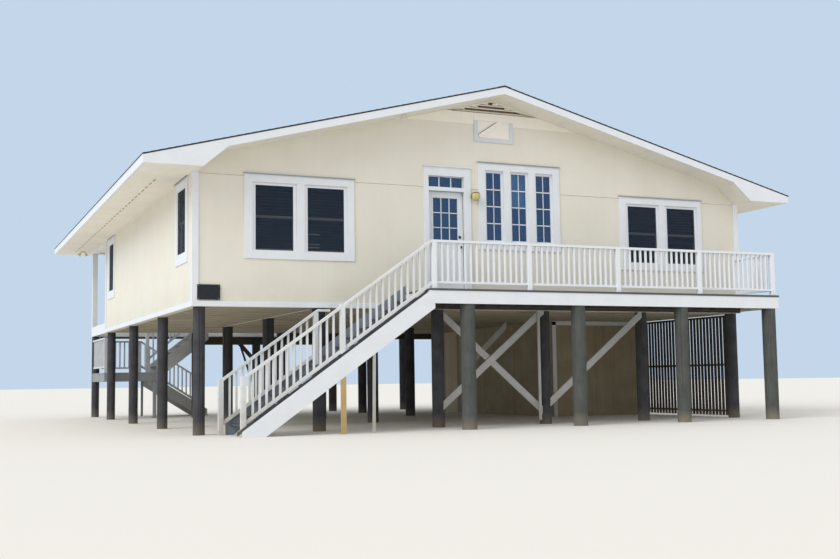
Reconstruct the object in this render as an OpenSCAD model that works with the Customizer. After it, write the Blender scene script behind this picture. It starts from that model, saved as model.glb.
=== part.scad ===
// One-storey timber beach house on piles, with a front deck and a covered rear porch.
// Sizes are in millimetres. Every piece is drawn from the front left corner of the
// underside of the floor frame, and piece() moves it to the part's own frame.

/* [House body] */
// Width of the house along its front wall
house_w = 12192; // [11600:4:12800]
// Depth of the enclosed house from front wall to back wall
house_d = 10758; // [10400:2:11200]
// Height of the open space from the ground to the floor frame
pile_h = 2300; // [2100:10:2600]
// Thickness of the closed floor frame with its boards
floor_t = 305; // [280:5:320]
// Thickness of an outside wall
wall_t = 140; // [120:5:160]
// Height of the level sheet joint where the gables start
joint_h = 2422; // [2410:2:2430]
// Width of the white corner boards and the bottom band
trim_w = 100; // [80:5:120]
// How far the thin trim boards stand proud of the walls
trim_t = 20; // [15:1:25]

/* [Roof] */
// Height of the ridge above the underside of the floor frame
ridge_h = 4449; // [4400:1:4500]
// Rise of the roof for each unit of run
roof_slope = 0.2593; // [0.25:0.0001:0.265]
// Vertical thickness of the roof from shingles to underside
roof_t = 177; // [165:1:185]
// Thickness of the shingle layer
shingle_t = 20; // [15:1:25]
// Reach of the eaves beyond the side walls
eave_over = 992; // [950:2:1050]
// Reach of the roof beyond the front wall
rake_over = 576; // [540:2:620]
// Reach of the roof beyond the rear porch
rear_over = 629; // [600:1:660]
// Thickness of the fascia and rake boards
fascia_t = 38; // [30:1:45]

/* [Front openings] */
// Left edge of the left twin window's casing
left_window_x = 938; // [900:2:980]
// Left edge of the right twin window's casing
right_window_x = 9095; // [9050:5:9150]
// Underside of the twin windows' casing
twin_z = 889; // [860:1:910]
// Width of a twin window over its casing
twin_w = 2166; // [2150:2:2180]
// Height of a twin window over its casing
twin_h = 1580; // [1560:2:1590]
// Left edge of the triple window's casing
triple_x = 5742; // [5720:2:5800]
// Underside of the triple window's casing
triple_z = 1210; // [1190:2:1230]
// Width of the triple window over its casing
triple_w = 1880; // [1840:2:1900]
// Height of the triple window over its casing
triple_h = 1773; // [1760:1:1790]
// Left edge of the front door's leaf
door_x = 4656; // [4640:2:4670]
// Width of the front door's leaf
door_w = 762; // [740:1:770]
// Height of the front door's leaf
door_h = 2032; // [2000:1:2040]

/* [Front deck] */
// Left end of the deck
deck_x = 4110; // [4080:5:4140]
// Depth of the deck from the front wall
deck_d = 1249; // [1200:1:1300]
// Height of the deck's white fascia
deck_fascia_h = 240; // [220:5:255]
// Height of the rails above the deck floor
rail_h = 905; // [860:5:950]
// Spacing of the balusters
baluster_pitch = 123; // [110:1:140]

/* [Stairs] */
// Steps from the ground to the deck
front_steps = 15; // [14:1:15]
// Run of one front step
front_run = 245; // [240:1:246]
// Steps from the ground to the rear landing
lower_steps = 6; // [5:1:7]
// Steps from the rear landing to the porch
upper_steps = 7; // [6:1:8]
// Height of the rear landing's floor below the floor frame
landing_drop = 1060; // [1000:10:1100]
// Length of the rear landing
landing_l = 1400; // [1300:10:1450]

/* [Piles] */
// Diameter of a round pile under the house
pile_d = 254; // [220:2:280]
// Diameter of the thinner piles along the left side
left_pile_d = 218; // [200:2:254]
// Diameter of a round post under the front deck
deck_post_d = 285; // [260:5:300]
// Distance from the front wall's face to the first pile row's centres
pile_inset = 172; // [150:2:180]

/* [Rear porch] */
// Depth of the porch from the back wall
porch_d = 2812; // [2700:2:2900]
// Width of the square porch posts and beams
porch_post_w = 140; // [120:5:150]
// How far the porch's top plates drop below the soffit
porch_plate_h = 38; // [30:1:60]
// Run of one step in the rear stair
rear_run = 235; // [225:5:245]

/* [Hidden] */

cream = "cornsilk";
white = "white";
dark = "darkslategray";
grey = "gray";

// Depths and heights that several pieces share
mid_x = house_w / 2;
porch_y = house_d + porch_d;
rear_y = porch_y + rear_over;
deck_lip = 12;
mid_y = (rear_y - deck_d - deck_lip) / 2;
inner_w = house_w - wall_t;
inner_d = house_d - wall_t;
frame_top = floor_t - 38;
board_t = 38;
post_w = 89;
eave_top = ridge_h - roof_slope * (mid_x + eave_over);
soffit_h = eave_top - roof_t;
soffit_t = 12;
rail_inset = 38;
// Hair gap that keeps sheets from sharing volume where they lie on each other
bed_gap = 0.2;

function roof_top(x) = ridge_h - roof_slope * abs(x - mid_x);
function roof_under(x) = roof_top(x) - roof_t;

module piece(c) color(c) translate([-mid_x, -mid_y, pile_h]) children();

// Block between a low corner and a high corner
module block(lo, hi) translate(lo) cube(hi - lo);

// Upright sheet: an outline in x and z, from depth y with thickness t
module upright(y, t) translate([0, y + t, 0]) rotate([90, 0, 0]) linear_extrude(t) children();

// Sideways sheet: an outline in y and z, from x with thickness t
module sideways(x, t) translate([x, 0, 0]) rotate([90, 0, 90]) linear_extrude(t) children();

// Turns a run drawn along x into one along y, its left face at x
module along_y(x) translate([x, 0, 0]) rotate([0, 0, 90]) children();

// The same piece on both sides of the house
module both_sides() {
    children();
    translate([house_w, 0, 0]) mirror([1, 0, 0]) children();
}

module rect(lo, hi) translate(lo) square(hi - lo);

// Windows

casing_w = 120;
casing_t = 22;
jamb_w = 36;
hung_stile_w = 56;
fixed_stile_w = 40;
sash_t = 35;
meeting_w = 40;
pane_t = 6;
upper_sash_y = 24;
lower_sash_y = upper_sash_y + sash_t;
side_window_w = 1090;
side_window_h = 1586;
side_window_z = 842;
side_window_ys = [418, 9215];
rear_window_xs = [938, 9095];
rear_window_z = 849;
light_edge = casing_w + jamb_w;
// The casing laps over the edge of the rough opening
rough_edge = casing_w - 10;

// Low and high edges of light i of n lights across a window of width w
function light_w(w, n) = (w - (n + 1) * light_edge) / n;
function light_lo(w, n, i) = light_edge + i * (light_w(w, n) + light_edge);

// Window of n lights in its own frame: x along the wall, y into it, z up; trim narrows the
// casing at its right
module window(w, h, n, hung, trim = 0) {
    upright(-casing_t, casing_t) difference() {
        rect([0, 0], [w - trim, h]);
        window_holes(w, h, n);
    }
    upright(0, wall_t - 5) difference() {
        rect([rough_edge, rough_edge], [w - rough_edge, h - rough_edge]);
        window_holes(w, h, n);
    }
    for (i = [0:n - 1]) translate([light_lo(w, n, i), 0, light_edge])
        sashes(light_w(w, n), h - 2 * light_edge, hung);
}

module window_holes(w, h, n)
    for (i = [0:n - 1]) translate([light_lo(w, n, i), light_edge])
        square([light_w(w, n), h - 2 * light_edge]);

module sashes(w, h, hung) {
    if (hung) {
        middle = h / 2;
        sash(w, middle - meeting_w / 2, h, upper_sash_y, hung_stile_w);
        sash(w, 0, middle + meeting_w / 2, lower_sash_y, hung_stile_w);
    } else {
        sash(w, 0, h, upper_sash_y, fixed_stile_w);
    }
}

module sash(w, z0, z1, y, stile) upright(y, sash_t) difference() {
    rect([0, z0], [w, z1]);
    rect([stile, z0 + meeting_w], [w - stile, z1 - meeting_w]);
}

// Panes of the same window
module panes(w, h, n, hung)
    for (i = [0:n - 1]) translate([light_lo(w, n, i), 0, light_edge]) {
        lw = light_w(w, n);
        lh = h - 2 * light_edge;
        if (hung) {
            pane(lw, lh / 2 - meeting_w / 2, lh, upper_sash_y, hung_stile_w);
            pane(lw, 0, lh / 2 + meeting_w / 2, lower_sash_y, hung_stile_w);
        } else {
            pane(lw, 0, lh, upper_sash_y, fixed_stile_w);
        }
    }

module pane(w, z0, z1, y, stile)
    block([stile, y + (sash_t - pane_t) / 2, z0 + meeting_w],
          [w - stile, y + (sash_t + pane_t) / 2, z1 - meeting_w]);

// Rough opening of a window, as an outline
module rough_opening(x, z, w, h)
    rect([x + rough_edge, z + rough_edge], [x + w - rough_edge, z + h - rough_edge]);

module at_left_wall(y) translate([0, y + side_window_w, 0]) rotate([0, 0, -90]) children();
module at_back_wall(x) translate([x, house_d, 0]) rotate([0, 0, 180]) children();

// Front wall

gap = 6;
frame_w = 34;
bar_h = 76;
transom_h = 223;
head_h = 42;
door_z = floor_t + 8;
doorway_x0 = door_x - gap - frame_w;
doorway_x1 = door_x + door_w + gap + frame_w;
door_top = door_z + door_h;
transom_z = door_top + gap + bar_h;
doorway_top = transom_z + transom_h + head_h;

module front_openings() {
    rough_opening(left_window_x, twin_z, twin_w, twin_h);
    rough_opening(right_window_x, twin_z, twin_w, twin_h);
    rough_opening(triple_x, triple_z, triple_w, triple_h);
    rect([doorway_x0, floor_t], [doorway_x1, doorway_top]);
}

module front_wall_left() piece(cream) upright(0, wall_t) difference() {
    rect([0, 0], [doorway_x0, joint_h]);
    front_openings();
}

module front_wall_right() piece(cream) upright(0, wall_t) difference() {
    rect([doorway_x1, 0], [house_w, joint_h]);
    front_openings();
}

vent_half = 1066;
vent_top = ridge_h - roof_t - 10;
vent_z = vent_top - vent_half * roof_slope;

// Outline of the gable vent, or of the space inside its rim
module vent_triangle(rim) {
    half = vent_half - 2 * rim / roof_slope;
    polygon([[mid_x - half, vent_z + rim], [mid_x + half, vent_z + rim], [mid_x, vent_top - rim]]);
}

module gable_outline() polygon([
    [0, joint_h], [house_w, joint_h], [house_w, roof_under(house_w)],
    [mid_x, roof_under(mid_x)], [0, roof_under(0)]
]);

module front_gable() piece(cream) upright(0, wall_t) difference() {
    gable_outline();
    front_openings();
    vent_triangle(0);
}

// Triangular louvred vent, closed by sloping blades
vent_y = 10;
vent_depth = 90;
vent_rim = 15;
blade_count = 3;
blade_pitch = 70;
blade_w = 60;
blade_t = 16;
blade_tilt = 30;

module gable_vent() piece(white) {
    upright(vent_y, vent_depth) difference() {
        vent_triangle(0);
        vent_triangle(vent_rim);
    }
    intersection() {
        upright(vent_y, vent_depth) vent_triangle(vent_rim / 2);
        for (i = [0:blade_count - 1])
            translate([mid_x - vent_half, 2 * vent_y, vent_z + vent_rim + (i + 0.2) * blade_pitch])
                rotate([blade_tilt, 0, 0]) cube([2 * vent_half, blade_w, blade_t]);
    }
}

// Framed hatch under the vent
hatch_x = 5670;
hatch_z = 3400;
hatch_w = 890;
hatch_h = 525;
hatch_rim = 90;
hatch_panel_t = 8;

module hatch_rect(rim)
    rect([hatch_x + rim, hatch_z + rim], [hatch_x + hatch_w - rim, hatch_z + hatch_h - rim]);

module gable_hatch() piece(white) {
    upright(-casing_t, casing_t) difference() {
        hatch_rect(0);
        hatch_rect(hatch_rim);
    }
    upright(-hatch_panel_t, hatch_panel_t) hatch_rect(hatch_rim);
}

// Side, back and porch gable walls

module side_wall() difference() {
    upright(wall_t, inner_d - wall_t)
        polygon([[0, 0], [wall_t, 0], [wall_t, roof_under(wall_t)], [0, roof_under(0)]]);
    sideways(-1, wall_t + 2) for (y = side_window_ys)
        rough_opening(y, side_window_z, side_window_w, side_window_h);
}

module left_wall() piece(cream) side_wall();
module right_wall() piece(cream) translate([house_w, 0, 0]) mirror([1, 0, 0]) side_wall();

rear_door_x = 6650;
rear_door_w = 915;

module back_wall() piece(cream) upright(inner_d, wall_t) difference() {
    polygon([[0, 0], [house_w, 0], [house_w, roof_under(house_w)],
             [mid_x, roof_under(mid_x)], [0, roof_under(0)]]);
    for (x = rear_window_xs) rough_opening(x, rear_window_z, twin_w, twin_h);
    rect([rear_door_x, floor_t], [rear_door_x + rear_door_w, door_top]);
}

module rear_gable() piece(cream) upright(porch_y - porch_post_w, porch_post_w) polygon([
    [0, soffit_h], [house_w, soffit_h], [house_w, roof_under(house_w)],
    [mid_x, roof_under(mid_x)], [0, roof_under(0)]
]);

module house_floor() piece(cream) block([wall_t, wall_t, 0], [inner_w, inner_d, floor_t]);

module bottom_trim() piece(white) difference() {
    block([-trim_t, -trim_t, 0], [house_w + trim_t, house_d + trim_t, trim_w]);
    block([0, 0, -1], [house_w, house_d, trim_w + 1]);
}

module corner_board() {
    difference() {
        block([-trim_t, -trim_t, trim_w], [trim_w, trim_w, soffit_h]);
        block([0, 0, 0], [trim_w + 1, trim_w + 1, soffit_h + 1]);
    }
}

module corner_boards() piece(white) both_sides() {
    corner_board();
    translate([0, house_d, 0]) mirror([0, 1, 0]) corner_board();
}

// Roof

slope_front = -rake_over + fascia_t;
slope_depth = rear_y + rake_over - 2 * fascia_t;
drip_over = 10;

// Underside of the shingle layer, and the line where the boards below it stop
function shingle_bed(x) = roof_top(x) - shingle_t;
function board_top(x) = shingle_bed(x) - bed_gap;

module roof_slope_half() upright(slope_front, slope_depth) polygon([
    [-eave_over + fascia_t, roof_under(-eave_over + fascia_t)],
    [mid_x, roof_under(mid_x)],
    [mid_x, board_top(mid_x)],
    [-eave_over + fascia_t, board_top(-eave_over + fascia_t)]
]);

module roof_left() piece(cream) roof_slope_half();
module roof_right() piece(cream) translate([house_w, 0, 0]) mirror([1, 0, 0]) roof_slope_half();

module shingles() piece(dark) {
    x0 = -eave_over - drip_over;
    upright(-rake_over - drip_over, rear_y + rake_over + 2 * drip_over) polygon([
        [x0, shingle_bed(x0)], [mid_x, shingle_bed(mid_x)], [house_w - x0, shingle_bed(x0)],
        [house_w - x0, roof_top(x0)], [mid_x, ridge_h], [x0, roof_top(x0)]
    ]);
}

// Where the boxed eave ends on the gable: low and high points of its slanted end
return_lo = 60;
return_hi = 510;

module rake_outline() polygon([
    [-eave_over, soffit_h], [return_lo, soffit_h], [return_hi, roof_under(return_hi)],
    [mid_x, roof_under(mid_x)], [house_w - return_hi, roof_under(return_hi)],
    [house_w - return_lo, soffit_h], [house_w + eave_over, soffit_h],
    [house_w + eave_over, board_top(-eave_over)], [mid_x, board_top(mid_x)],
    [-eave_over, board_top(-eave_over)]
]);

module rake_boards() piece(white) {
    upright(-rake_over, fascia_t) rake_outline();
    upright(rear_y - fascia_t, fascia_t) rake_outline();
}

module eave_fascias() piece(white) both_sides()
    upright(slope_front, slope_depth) polygon([
        [-eave_over, soffit_h], [-eave_over + fascia_t, soffit_h],
        [-eave_over + fascia_t, board_top(-eave_over + fascia_t)],
        [-eave_over, board_top(-eave_over)]
    ]);

// Level boxed soffit and the slanted board that closes its end beside the gable wall
module return_end(y, t) upright(y, t) polygon([
    [0, soffit_h], [return_lo, soffit_h], [return_hi, roof_under(return_hi)],
    [return_hi - 2 * soffit_t, roof_under(return_hi - 2 * soffit_t)],
    [return_lo - soffit_t, soffit_h + soffit_t], [0, soffit_h + soffit_t]
]);

module eave_soffits() piece(cream) both_sides() {
    x0 = -eave_over + fascia_t;
    upright(slope_front, slope_depth) polygon([
        [x0, soffit_h], [0, soffit_h], [0, soffit_h + soffit_t], [x0 + soffit_t, soffit_h + soffit_t],
        [x0, roof_under(x0) - bed_gap]
    ]);
    return_end(slope_front, rake_over - fascia_t);
    return_end(porch_y, rear_over - fascia_t);
}

// Window and door pieces

left_twin_trim = 18;
right_twin_trim = 46;

module front_windows() piece(white) {
    translate([left_window_x, 0, twin_z]) window(twin_w, twin_h, 2, true, left_twin_trim);
    translate([right_window_x, 0, twin_z]) window(twin_w, twin_h, 2, true, right_twin_trim);
    translate([triple_x, 0, triple_z]) window(triple_w, triple_h, 3, false);
}

module side_windows() piece(white) both_sides() for (y = side_window_ys)
    at_left_wall(y) translate([0, 0, side_window_z]) window(side_window_w, side_window_h, 1, true);

module rear_windows() piece(white) for (x = rear_window_xs)
    at_back_wall(x + twin_w) translate([0, 0, rear_window_z]) window(twin_w, twin_h, 2, true);

module window_glass() piece("lightblue") {
    translate([left_window_x, 0, twin_z]) panes(twin_w, twin_h, 2, true);
    translate([right_window_x, 0, twin_z]) panes(twin_w, twin_h, 2, true);
    translate([triple_x, 0, triple_z]) panes(triple_w, triple_h, 3, false);
    both_sides() for (y = side_window_ys)
        at_left_wall(y) translate([0, 0, side_window_z]) panes(side_window_w, side_window_h, 1, true);
    for (x = rear_window_xs)
        at_back_wall(x + twin_w) translate([0, 0, rear_window_z]) panes(twin_w, twin_h, 2, true);
    upright(transom_pane_y, pane_t) transom_hole();
}

leaf_y = 84;
leaf_t = 44;
leaf_in = leaf_y + leaf_t;
stop_t = 26;
hinge_x = door_x - gap / 2;
hinge_y = leaf_in + 12;
hinge_zs = [door_z + 200, door_z + 1000, door_z + 1780];
knuckle_r = 6.5;
knuckle_h = 40;
lite_x0 = door_x + 124;
lite_x1 = door_x + door_w - 101;
lite_z0 = 1335;
lite_z1 = 2225;
transom_x0 = door_x - 10;
transom_x1 = door_x + door_w + 3;
transom_pane_y = 60;
pane_inset = 19;

module transom_hole()
    rect([transom_x0, transom_z], [transom_x1, transom_z + transom_h]);

// Clear way for the leaf
module leaf_hole()
    rect([door_x - gap, floor_t - 1], [door_x + door_w + gap, door_top + gap]);

door_casing_left = 72;
door_casing_right = 112;
door_casing_head = 136;
stop_lap = 10;
stop_gap = 5;
cap_over = 18;
cap_reach = 52;
cap_t = 20;

// Jambs, head, transom bar and stops, with the outside casing and the fixed hinge knuckles
module front_door_frame() piece(white) {
    upright(0, leaf_in) difference() {
        rect([doorway_x0, floor_t], [doorway_x1, doorway_top]);
        leaf_hole();
        transom_hole();
    }
    upright(leaf_y - stop_gap - stop_t, stop_t) difference() {
        rect([door_x - gap, floor_t], [door_x + door_w + gap, door_top + gap]);
        rect([door_x + stop_lap, floor_t - 1], [door_x + door_w - stop_lap, door_top - stop_lap]);
    }
    x0 = doorway_x0 - door_casing_left;
    x1 = doorway_x1 + door_casing_right;
    top = doorway_top + door_casing_head;
    upright(-casing_t, casing_t) difference() {
        rect([x0, floor_t], [x1, top]);
        leaf_hole();
        transom_hole();
    }
    block([x0 - cap_over, -cap_reach, top], [x1 + cap_over, 0, top + cap_t]);
    for (z = hinge_zs) fixed_knuckles(z);
}

knuckle_gap = 1;
fixed_h = 25;
leaf_plate_w = 34;
leaf_plate_t = 3;
leaf_plate_over = 20;

module knuckle(z, h) translate([hinge_x, hinge_y, z]) cylinder(r = knuckle_r, h = h, $fn = 24);

module fixed_knuckles(z) for (z0 = [z - knuckle_gap - fixed_h, z + knuckle_h + knuckle_gap]) {
    knuckle(z0, fixed_h);
    block([hinge_x - 8, leaf_in, z0], [hinge_x - gap / 2, hinge_y, z0 + fixed_h]);
}

module front_door() piece(white) difference() {
    block([door_x, leaf_y, door_z], [door_x + door_w, leaf_in, door_top]);
    block([lite_x0, leaf_y - 1, lite_z0], [lite_x1, leaf_in + 1, lite_z1]);
}

module front_door_glass() piece("lightblue")
    block([lite_x0, leaf_y + pane_inset, lite_z0], [lite_x1, leaf_y + pane_inset + pane_t, lite_z1]);

lock_x = door_x + door_w - 62;
knob_z = 1247;
bolt_z = 1451;

// Turned knob and bolt cap as outlines of radius and height over the leaf's face
module knob() rotate_extrude($fn = 32)
    polygon([[0, 0], [32, 0], [32, 6], [12, 12], [11, 38], [24, 44], [27, 52], [20, 62], [0, 64]]);

module bolt_cap() rotate_extrude($fn = 32)
    polygon([[0, 0], [30, 0], [30, 8], [26, 12], [14, 12], [14, 20], [0, 20]]);

// Knob and bolt on both faces, and the moving hinge knuckles with their plates
module front_door_hardware() piece("goldenrod") {
    for (side = [0, 1]) translate([lock_x, leaf_y + side * leaf_t, 0]) rotate([90 - side * 180, 0, 0]) {
        translate([0, side == 0 ? knob_z : -knob_z, 0]) knob();
        translate([0, side == 0 ? bolt_z : -bolt_z, 0]) bolt_cap();
    }
    for (z = hinge_zs) {
        knuckle(z, knuckle_h);
        block([hinge_x + gap / 2, leaf_in, z], [hinge_x + 8, hinge_y, z + knuckle_h]);
        block([hinge_x + gap / 2, leaf_in, z - leaf_plate_over],
              [hinge_x + leaf_plate_w, leaf_in + leaf_plate_t, z + knuckle_h + leaf_plate_over]);
    }
}

rear_casing = 85;
rear_leaf_y = inner_d + 60;
module rear_door() piece(white) {
    x1 = rear_door_x + rear_door_w;
    block([rear_door_x, rear_leaf_y, floor_t], [x1, rear_leaf_y + leaf_t, door_top]);
    upright(house_d, casing_t) difference() {
        rect([rear_door_x - rear_casing, floor_t], [x1 + rear_casing, door_top + rear_casing]);
        rect([rear_door_x, floor_t - 1], [x1, door_top]);
    }
}

// Round lamp beside the front door, on a wall plate and a short arm
lamp_x = 5640;
lamp_z = 2178;
lamp_r = 88;
lamp_out = 105;

module wall_lamp() piece("khaki") translate([lamp_x, 0, lamp_z]) {
    translate([0, 0, lamp_r]) rotate([90, 0, 0]) cylinder(r = 62, h = lamp_out / 2, $fn = 36);
    translate([0, -lamp_out, 0]) rotate_extrude($fn = 36)
        polygon([[0, 0], [48, 0], [76, 30], [lamp_r, 64], [lamp_r, 116], [72, 150], [40, 172], [0, 178]]);
}

// Twin spot heads on a round box, in their own frame with the box on the plane z = 0;
// k is their size against the rear pair
flood_apart = 53;
flood_tilt = 30;

module flood_pair(k) {
    cylinder(r = 55 * k, h = 24 * k, $fn = 32);
    for (side = [-1, 1])
        translate([side * flood_apart * k, 0, 26 * k]) rotate([0, side * flood_tilt, 0]) {
            cylinder(r = 14 * k, h = 50 * k, $fn = 24);
            translate([0, 0, 34 * k]) cylinder(r1 = 30 * k, r2 = 50 * k, h = 84 * k, $fn = 32);
        }
    translate([-(flood_apart + 12) * k, -12 * k, 16 * k])
        cube([2 * (flood_apart + 12) * k, 24 * k, 20 * k]);
}

flood_x = 3950;
flood_y = -450;
front_flood_size = 0.6;
rear_flood_x = -320;
rear_flood_y = 13140;

module floodlights() piece(white) {
    translate([flood_x, flood_y, roof_under(flood_x) - bed_gap])
        rotate([180, -atan(roof_slope), 0]) flood_pair(front_flood_size);
    translate([rear_flood_x, rear_flood_y, soffit_h]) rotate([180, 0, 0]) flood_pair(1);
}

// Bare plate at the lower left corner of the front wall
sign_x = 75;
sign_z = 120;
sign_w = 417;
sign_h = 273;
sign_t = 12;

module sign_plate() piece("black")
    block([sign_x, -trim_t - sign_t, sign_z], [sign_x + sign_w, -trim_t, sign_z + sign_h]);

// Rails: level or sloping runs in the x and z plane, for the front deck and both stairs

bar_w = 38;
rail_bar_h = 46;
sloping_bottom_h = 62;
bottom_rail_gap = 100;

// A bar whose top edge goes from (x0, z) at slope k to x1, with plumb ends
module sloping_bar(x0, x1, z, k, h, y, t) upright(y, t)
    polygon([[x0, z - h], [x1, z - h + k * (x1 - x0)], [x1, z + k * (x1 - x0)], [x0, z]]);

// Top rail, bottom rail and balusters between two posts; drop is from top to bottom rail,
// and stretch turns a bar's height across its length into its height measured plumb
module rail_run(x0, x1, z, k, y, drop) {
    side = (post_w - bar_w) / 2;
    stretch = sqrt(1 + k * k);
    bottom_h = k == 0 ? rail_bar_h : sloping_bottom_h;
    sloping_bar(x0, x1, z, k, rail_bar_h * stretch, y, post_w);
    sloping_bar(x0, x1, z - drop, k, bottom_h * stretch, y + side, bar_w);
    count = round((x1 - x0) / baluster_pitch) - 1;
    step = (x1 - x0) / (count + 1);
    for (i = [1:count]) {
        x = x0 + i * step - bar_w / 2;
        sloping_bar(x, x + bar_w, z - bar_w + k * (x - x0), k, drop - bar_w / 2, y + side, bar_w);
    }
}

module rail_post(x, y, z0, z1) block([x - post_w / 2, y, z0], [x + post_w / 2, y + post_w, z1]);

// Front deck

deck_y = -deck_d;
deck_top = floor_t;
deck_back = -trim_t - 2;
deck_z0 = frame_top - deck_fascia_h;
rail_y = deck_y + rail_inset;
rail_top = deck_top + rail_h;
level_drop = rail_h - bottom_rail_gap - bar_w;
rail_post_xs = [4214, 6219, 8226, 10209, house_w - rail_inset - post_w / 2];

module deck_floor() piece(grey)
    block([deck_x, deck_y - deck_lip, frame_top], [house_w + deck_lip, deck_back, deck_top]);

// Rim boards and joists; the joists between the ends are less deep
joist_gaps = 20;
joist_step_up = 40;

module deck_frame() piece(white) {
    for (y = [deck_y, deck_back - board_t])
        block([deck_x, y, deck_z0], [house_w, y + board_t, frame_top]);
    for (i = [0:joist_gaps]) {
        x = deck_x + i * (house_w - board_t - deck_x) / joist_gaps;
        z = i == 0 || i == joist_gaps ? deck_z0 : deck_z0 + joist_step_up;
        block([x, deck_y, z], [x + board_t, deck_back, frame_top]);
    }
}

deck_post_xs = [4920, 7320, 9770, 12030];

module deck_posts() piece(grey) for (x = deck_post_xs)
    translate([x, deck_y + deck_post_d / 2, -pile_h])
        cylinder(d = deck_post_d, h = pile_h + deck_z0, $fn = 48);

module deck_rails() piece(white) {
    last = len(rail_post_xs) - 1;
    for (x = rail_post_xs) rail_post(x, rail_y, deck_top, rail_top);
    for (i = [0:last - 1])
        rail_run(rail_post_xs[i] + post_w / 2, rail_post_xs[i + 1] - post_w / 2,
                 rail_top, 0, rail_y, level_drop);
    along_y(rail_post_xs[last] - post_w / 2)
        rail_run(rail_y + post_w + 2, deck_back, rail_top, 0, -post_w, level_drop);
}

// Front stair, down to the left along the front wall

// Slope of the stair; the lowest step takes up what is left of the height
front_k = 0.70065;
front_rise = front_k * front_run;
stringer_t = 38;
stringer_h = 380;
stringer_toe = 20;
far_y = deck_back - stringer_t;

// Plank beside the steps: its top edge runs below the line of the nosings, and its foot is level
module stringer(x1, top, k, x0, ground, y) {
    low = top - k * (x1 - x0);
    upright(y, stringer_t) polygon([
        [x1, top], [x0, max(low, ground + stringer_toe)], [x0, ground],
        [x1 - (top - stringer_h - ground) / k, ground], [x1, top - stringer_h]
    ]);
}

stringer_top = deck_top - 44;
stringer_foot = 588;

// The far plank stands higher than the near one and closes the steps' ends along the wall
far_stringer_lift = 185;

module stair_stringers() piece(white) {
    stringer(deck_x, stringer_top, front_k, stringer_foot, -pile_h, deck_y);
    stringer(deck_x, stringer_top + far_stringer_lift, front_k, stringer_foot, -pile_h, far_y);
}

nosing = 14;
tread_gap = 16;

module stair_treads() piece(grey) for (i = [1:front_steps - 1])
    block([deck_x - i * front_run - nosing, deck_y + stringer_t, deck_top - i * front_rise - board_t],
          [deck_x - (i - 1) * front_run - tread_gap, far_y, deck_top - i * front_rise]);

// Newels: middle and foot of the near rail, head and foot of the far rail
near_newel_xs = [2413, 616];
far_newel_xs = [2266, 484];
newel_over = 12;
stair_drop = 765;
stair_rail_x = rail_post_xs[0] - post_w / 2;
far_rail_head = -34;
far_rail_end = 2540;

function stair_rail_z(x) = rail_top - front_k * (stair_rail_x - x);

// Level under a newel at x: a tread, or the ground beyond the lowest tread
function tread_z(x) = let (i = ceil((deck_x - x) / front_run))
    i < front_steps ? deck_top - i * front_rise : -pile_h;

// Newels and sloping rails of a side, lift above the near rail's line
module newel(x, y, lift) rail_post(x, y, tread_z(x), stair_rail_z(x) + lift + newel_over);

module rail_run_down(x1, x0, y, lift)
    rail_run(x0, x1, stair_rail_z(x0) + lift, front_k, y, stair_drop);

module stair_near_rail() piece(white) {
    y = deck_y + stringer_t;
    for (x = near_newel_xs) newel(x, y, 0);
    rail_run_down(stair_rail_x, near_newel_xs[0] + post_w / 2, y, 0);
    rail_run_down(near_newel_xs[0] - post_w / 2, near_newel_xs[1] + post_w / 2, y, 0);
}

// The far rail ends in a short level bar where it meets the house's bottom edge
module stair_far_rail() piece(white) {
    y = far_y - post_w;
    head = far_newel_xs[0] + post_w / 2;
    low = far_newel_xs[0] - post_w / 2;
    lift = far_rail_head - stair_rail_z(head);
    rail_post(far_newel_xs[0], y, tread_z(far_newel_xs[0]), stair_rail_z(low) + lift);
    sloping_bar(low, head, stair_rail_z(low) + lift, front_k, rail_bar_h, y, post_w);
    newel(far_newel_xs[1], y, lift);
    rail_run_down(low, far_newel_xs[1] + post_w / 2, y, lift);
    block([head, y, far_rail_head - rail_bar_h], [far_rail_end, y + post_w, far_rail_head]);
}

// Loose timbers that prop the near stringer: left side and width of each
props = [[2355, 95], [2965, 50]];

module stair_props() piece("burlywood") for (p = props) {
    x = p[0];
    w = p[1];
    under = stringer_top - stringer_h - front_k * (deck_x - x) - 1;
    upright(deck_y, stringer_t)
        polygon([[x, -pile_h], [x + w, -pile_h], [x + w, under + front_k * w], [x, under]]);
}

// Ground level

pile_xs = [155, 2420, 4827, 7275, 9670, 12060];
pile_ys = [pile_inset, 3600, 7200, house_d - 20, porch_y - 210];
// In the front row the third pile stands this far to the right of its column
third_pile_shift = 48;

function pile_r(i) = (i == 0 ? left_pile_d : pile_d) / 2;
function pile_x(i, row) = pile_xs[i] + (i == 2 && row == 0 ? third_pile_shift : 0);

// Right and left faces of pile i of a row
function pile_right(i, row) = pile_x(i, row) + pile_r(i);
function pile_left(i, row) = pile_x(i, row) - pile_r(i);

module pile(i, row) translate([pile_x(i, row), pile_ys[row], -pile_h])
    cylinder(r = pile_r(i), h = pile_h, $fn = 48);

module front_piles() piece(dark) for (i = [0:5]) pile(i, 0);

// The storage room takes the place of the inner piles on the right
module inner_piles() piece(dark) for (row = [1:3], i = [0:5])
    if (pile_xs[i] < storage_x || row == 3) pile(i, row);

// The porch's corner pile stands flush with its two outer faces, and the rear stair takes
// the place of the second one
corner_r = pile_r(0);
corner_y = porch_y - corner_r;

module porch_piles() piece(dark) {
    translate([corner_r, corner_y, -pile_h]) cylinder(r = corner_r, h = pile_h, $fn = 48);
    for (i = [2:5]) pile(i, 4);
}

girder_t = 120;
back_girder_h = 165;
porch_girder_h = 235;
stairwell_girder_h = 60;

module girder(x0, x1, row, h)
    block([x0, pile_ys[row] - girder_t / 2, -h], [x1, pile_ys[row] + girder_t / 2, 0]);

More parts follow.
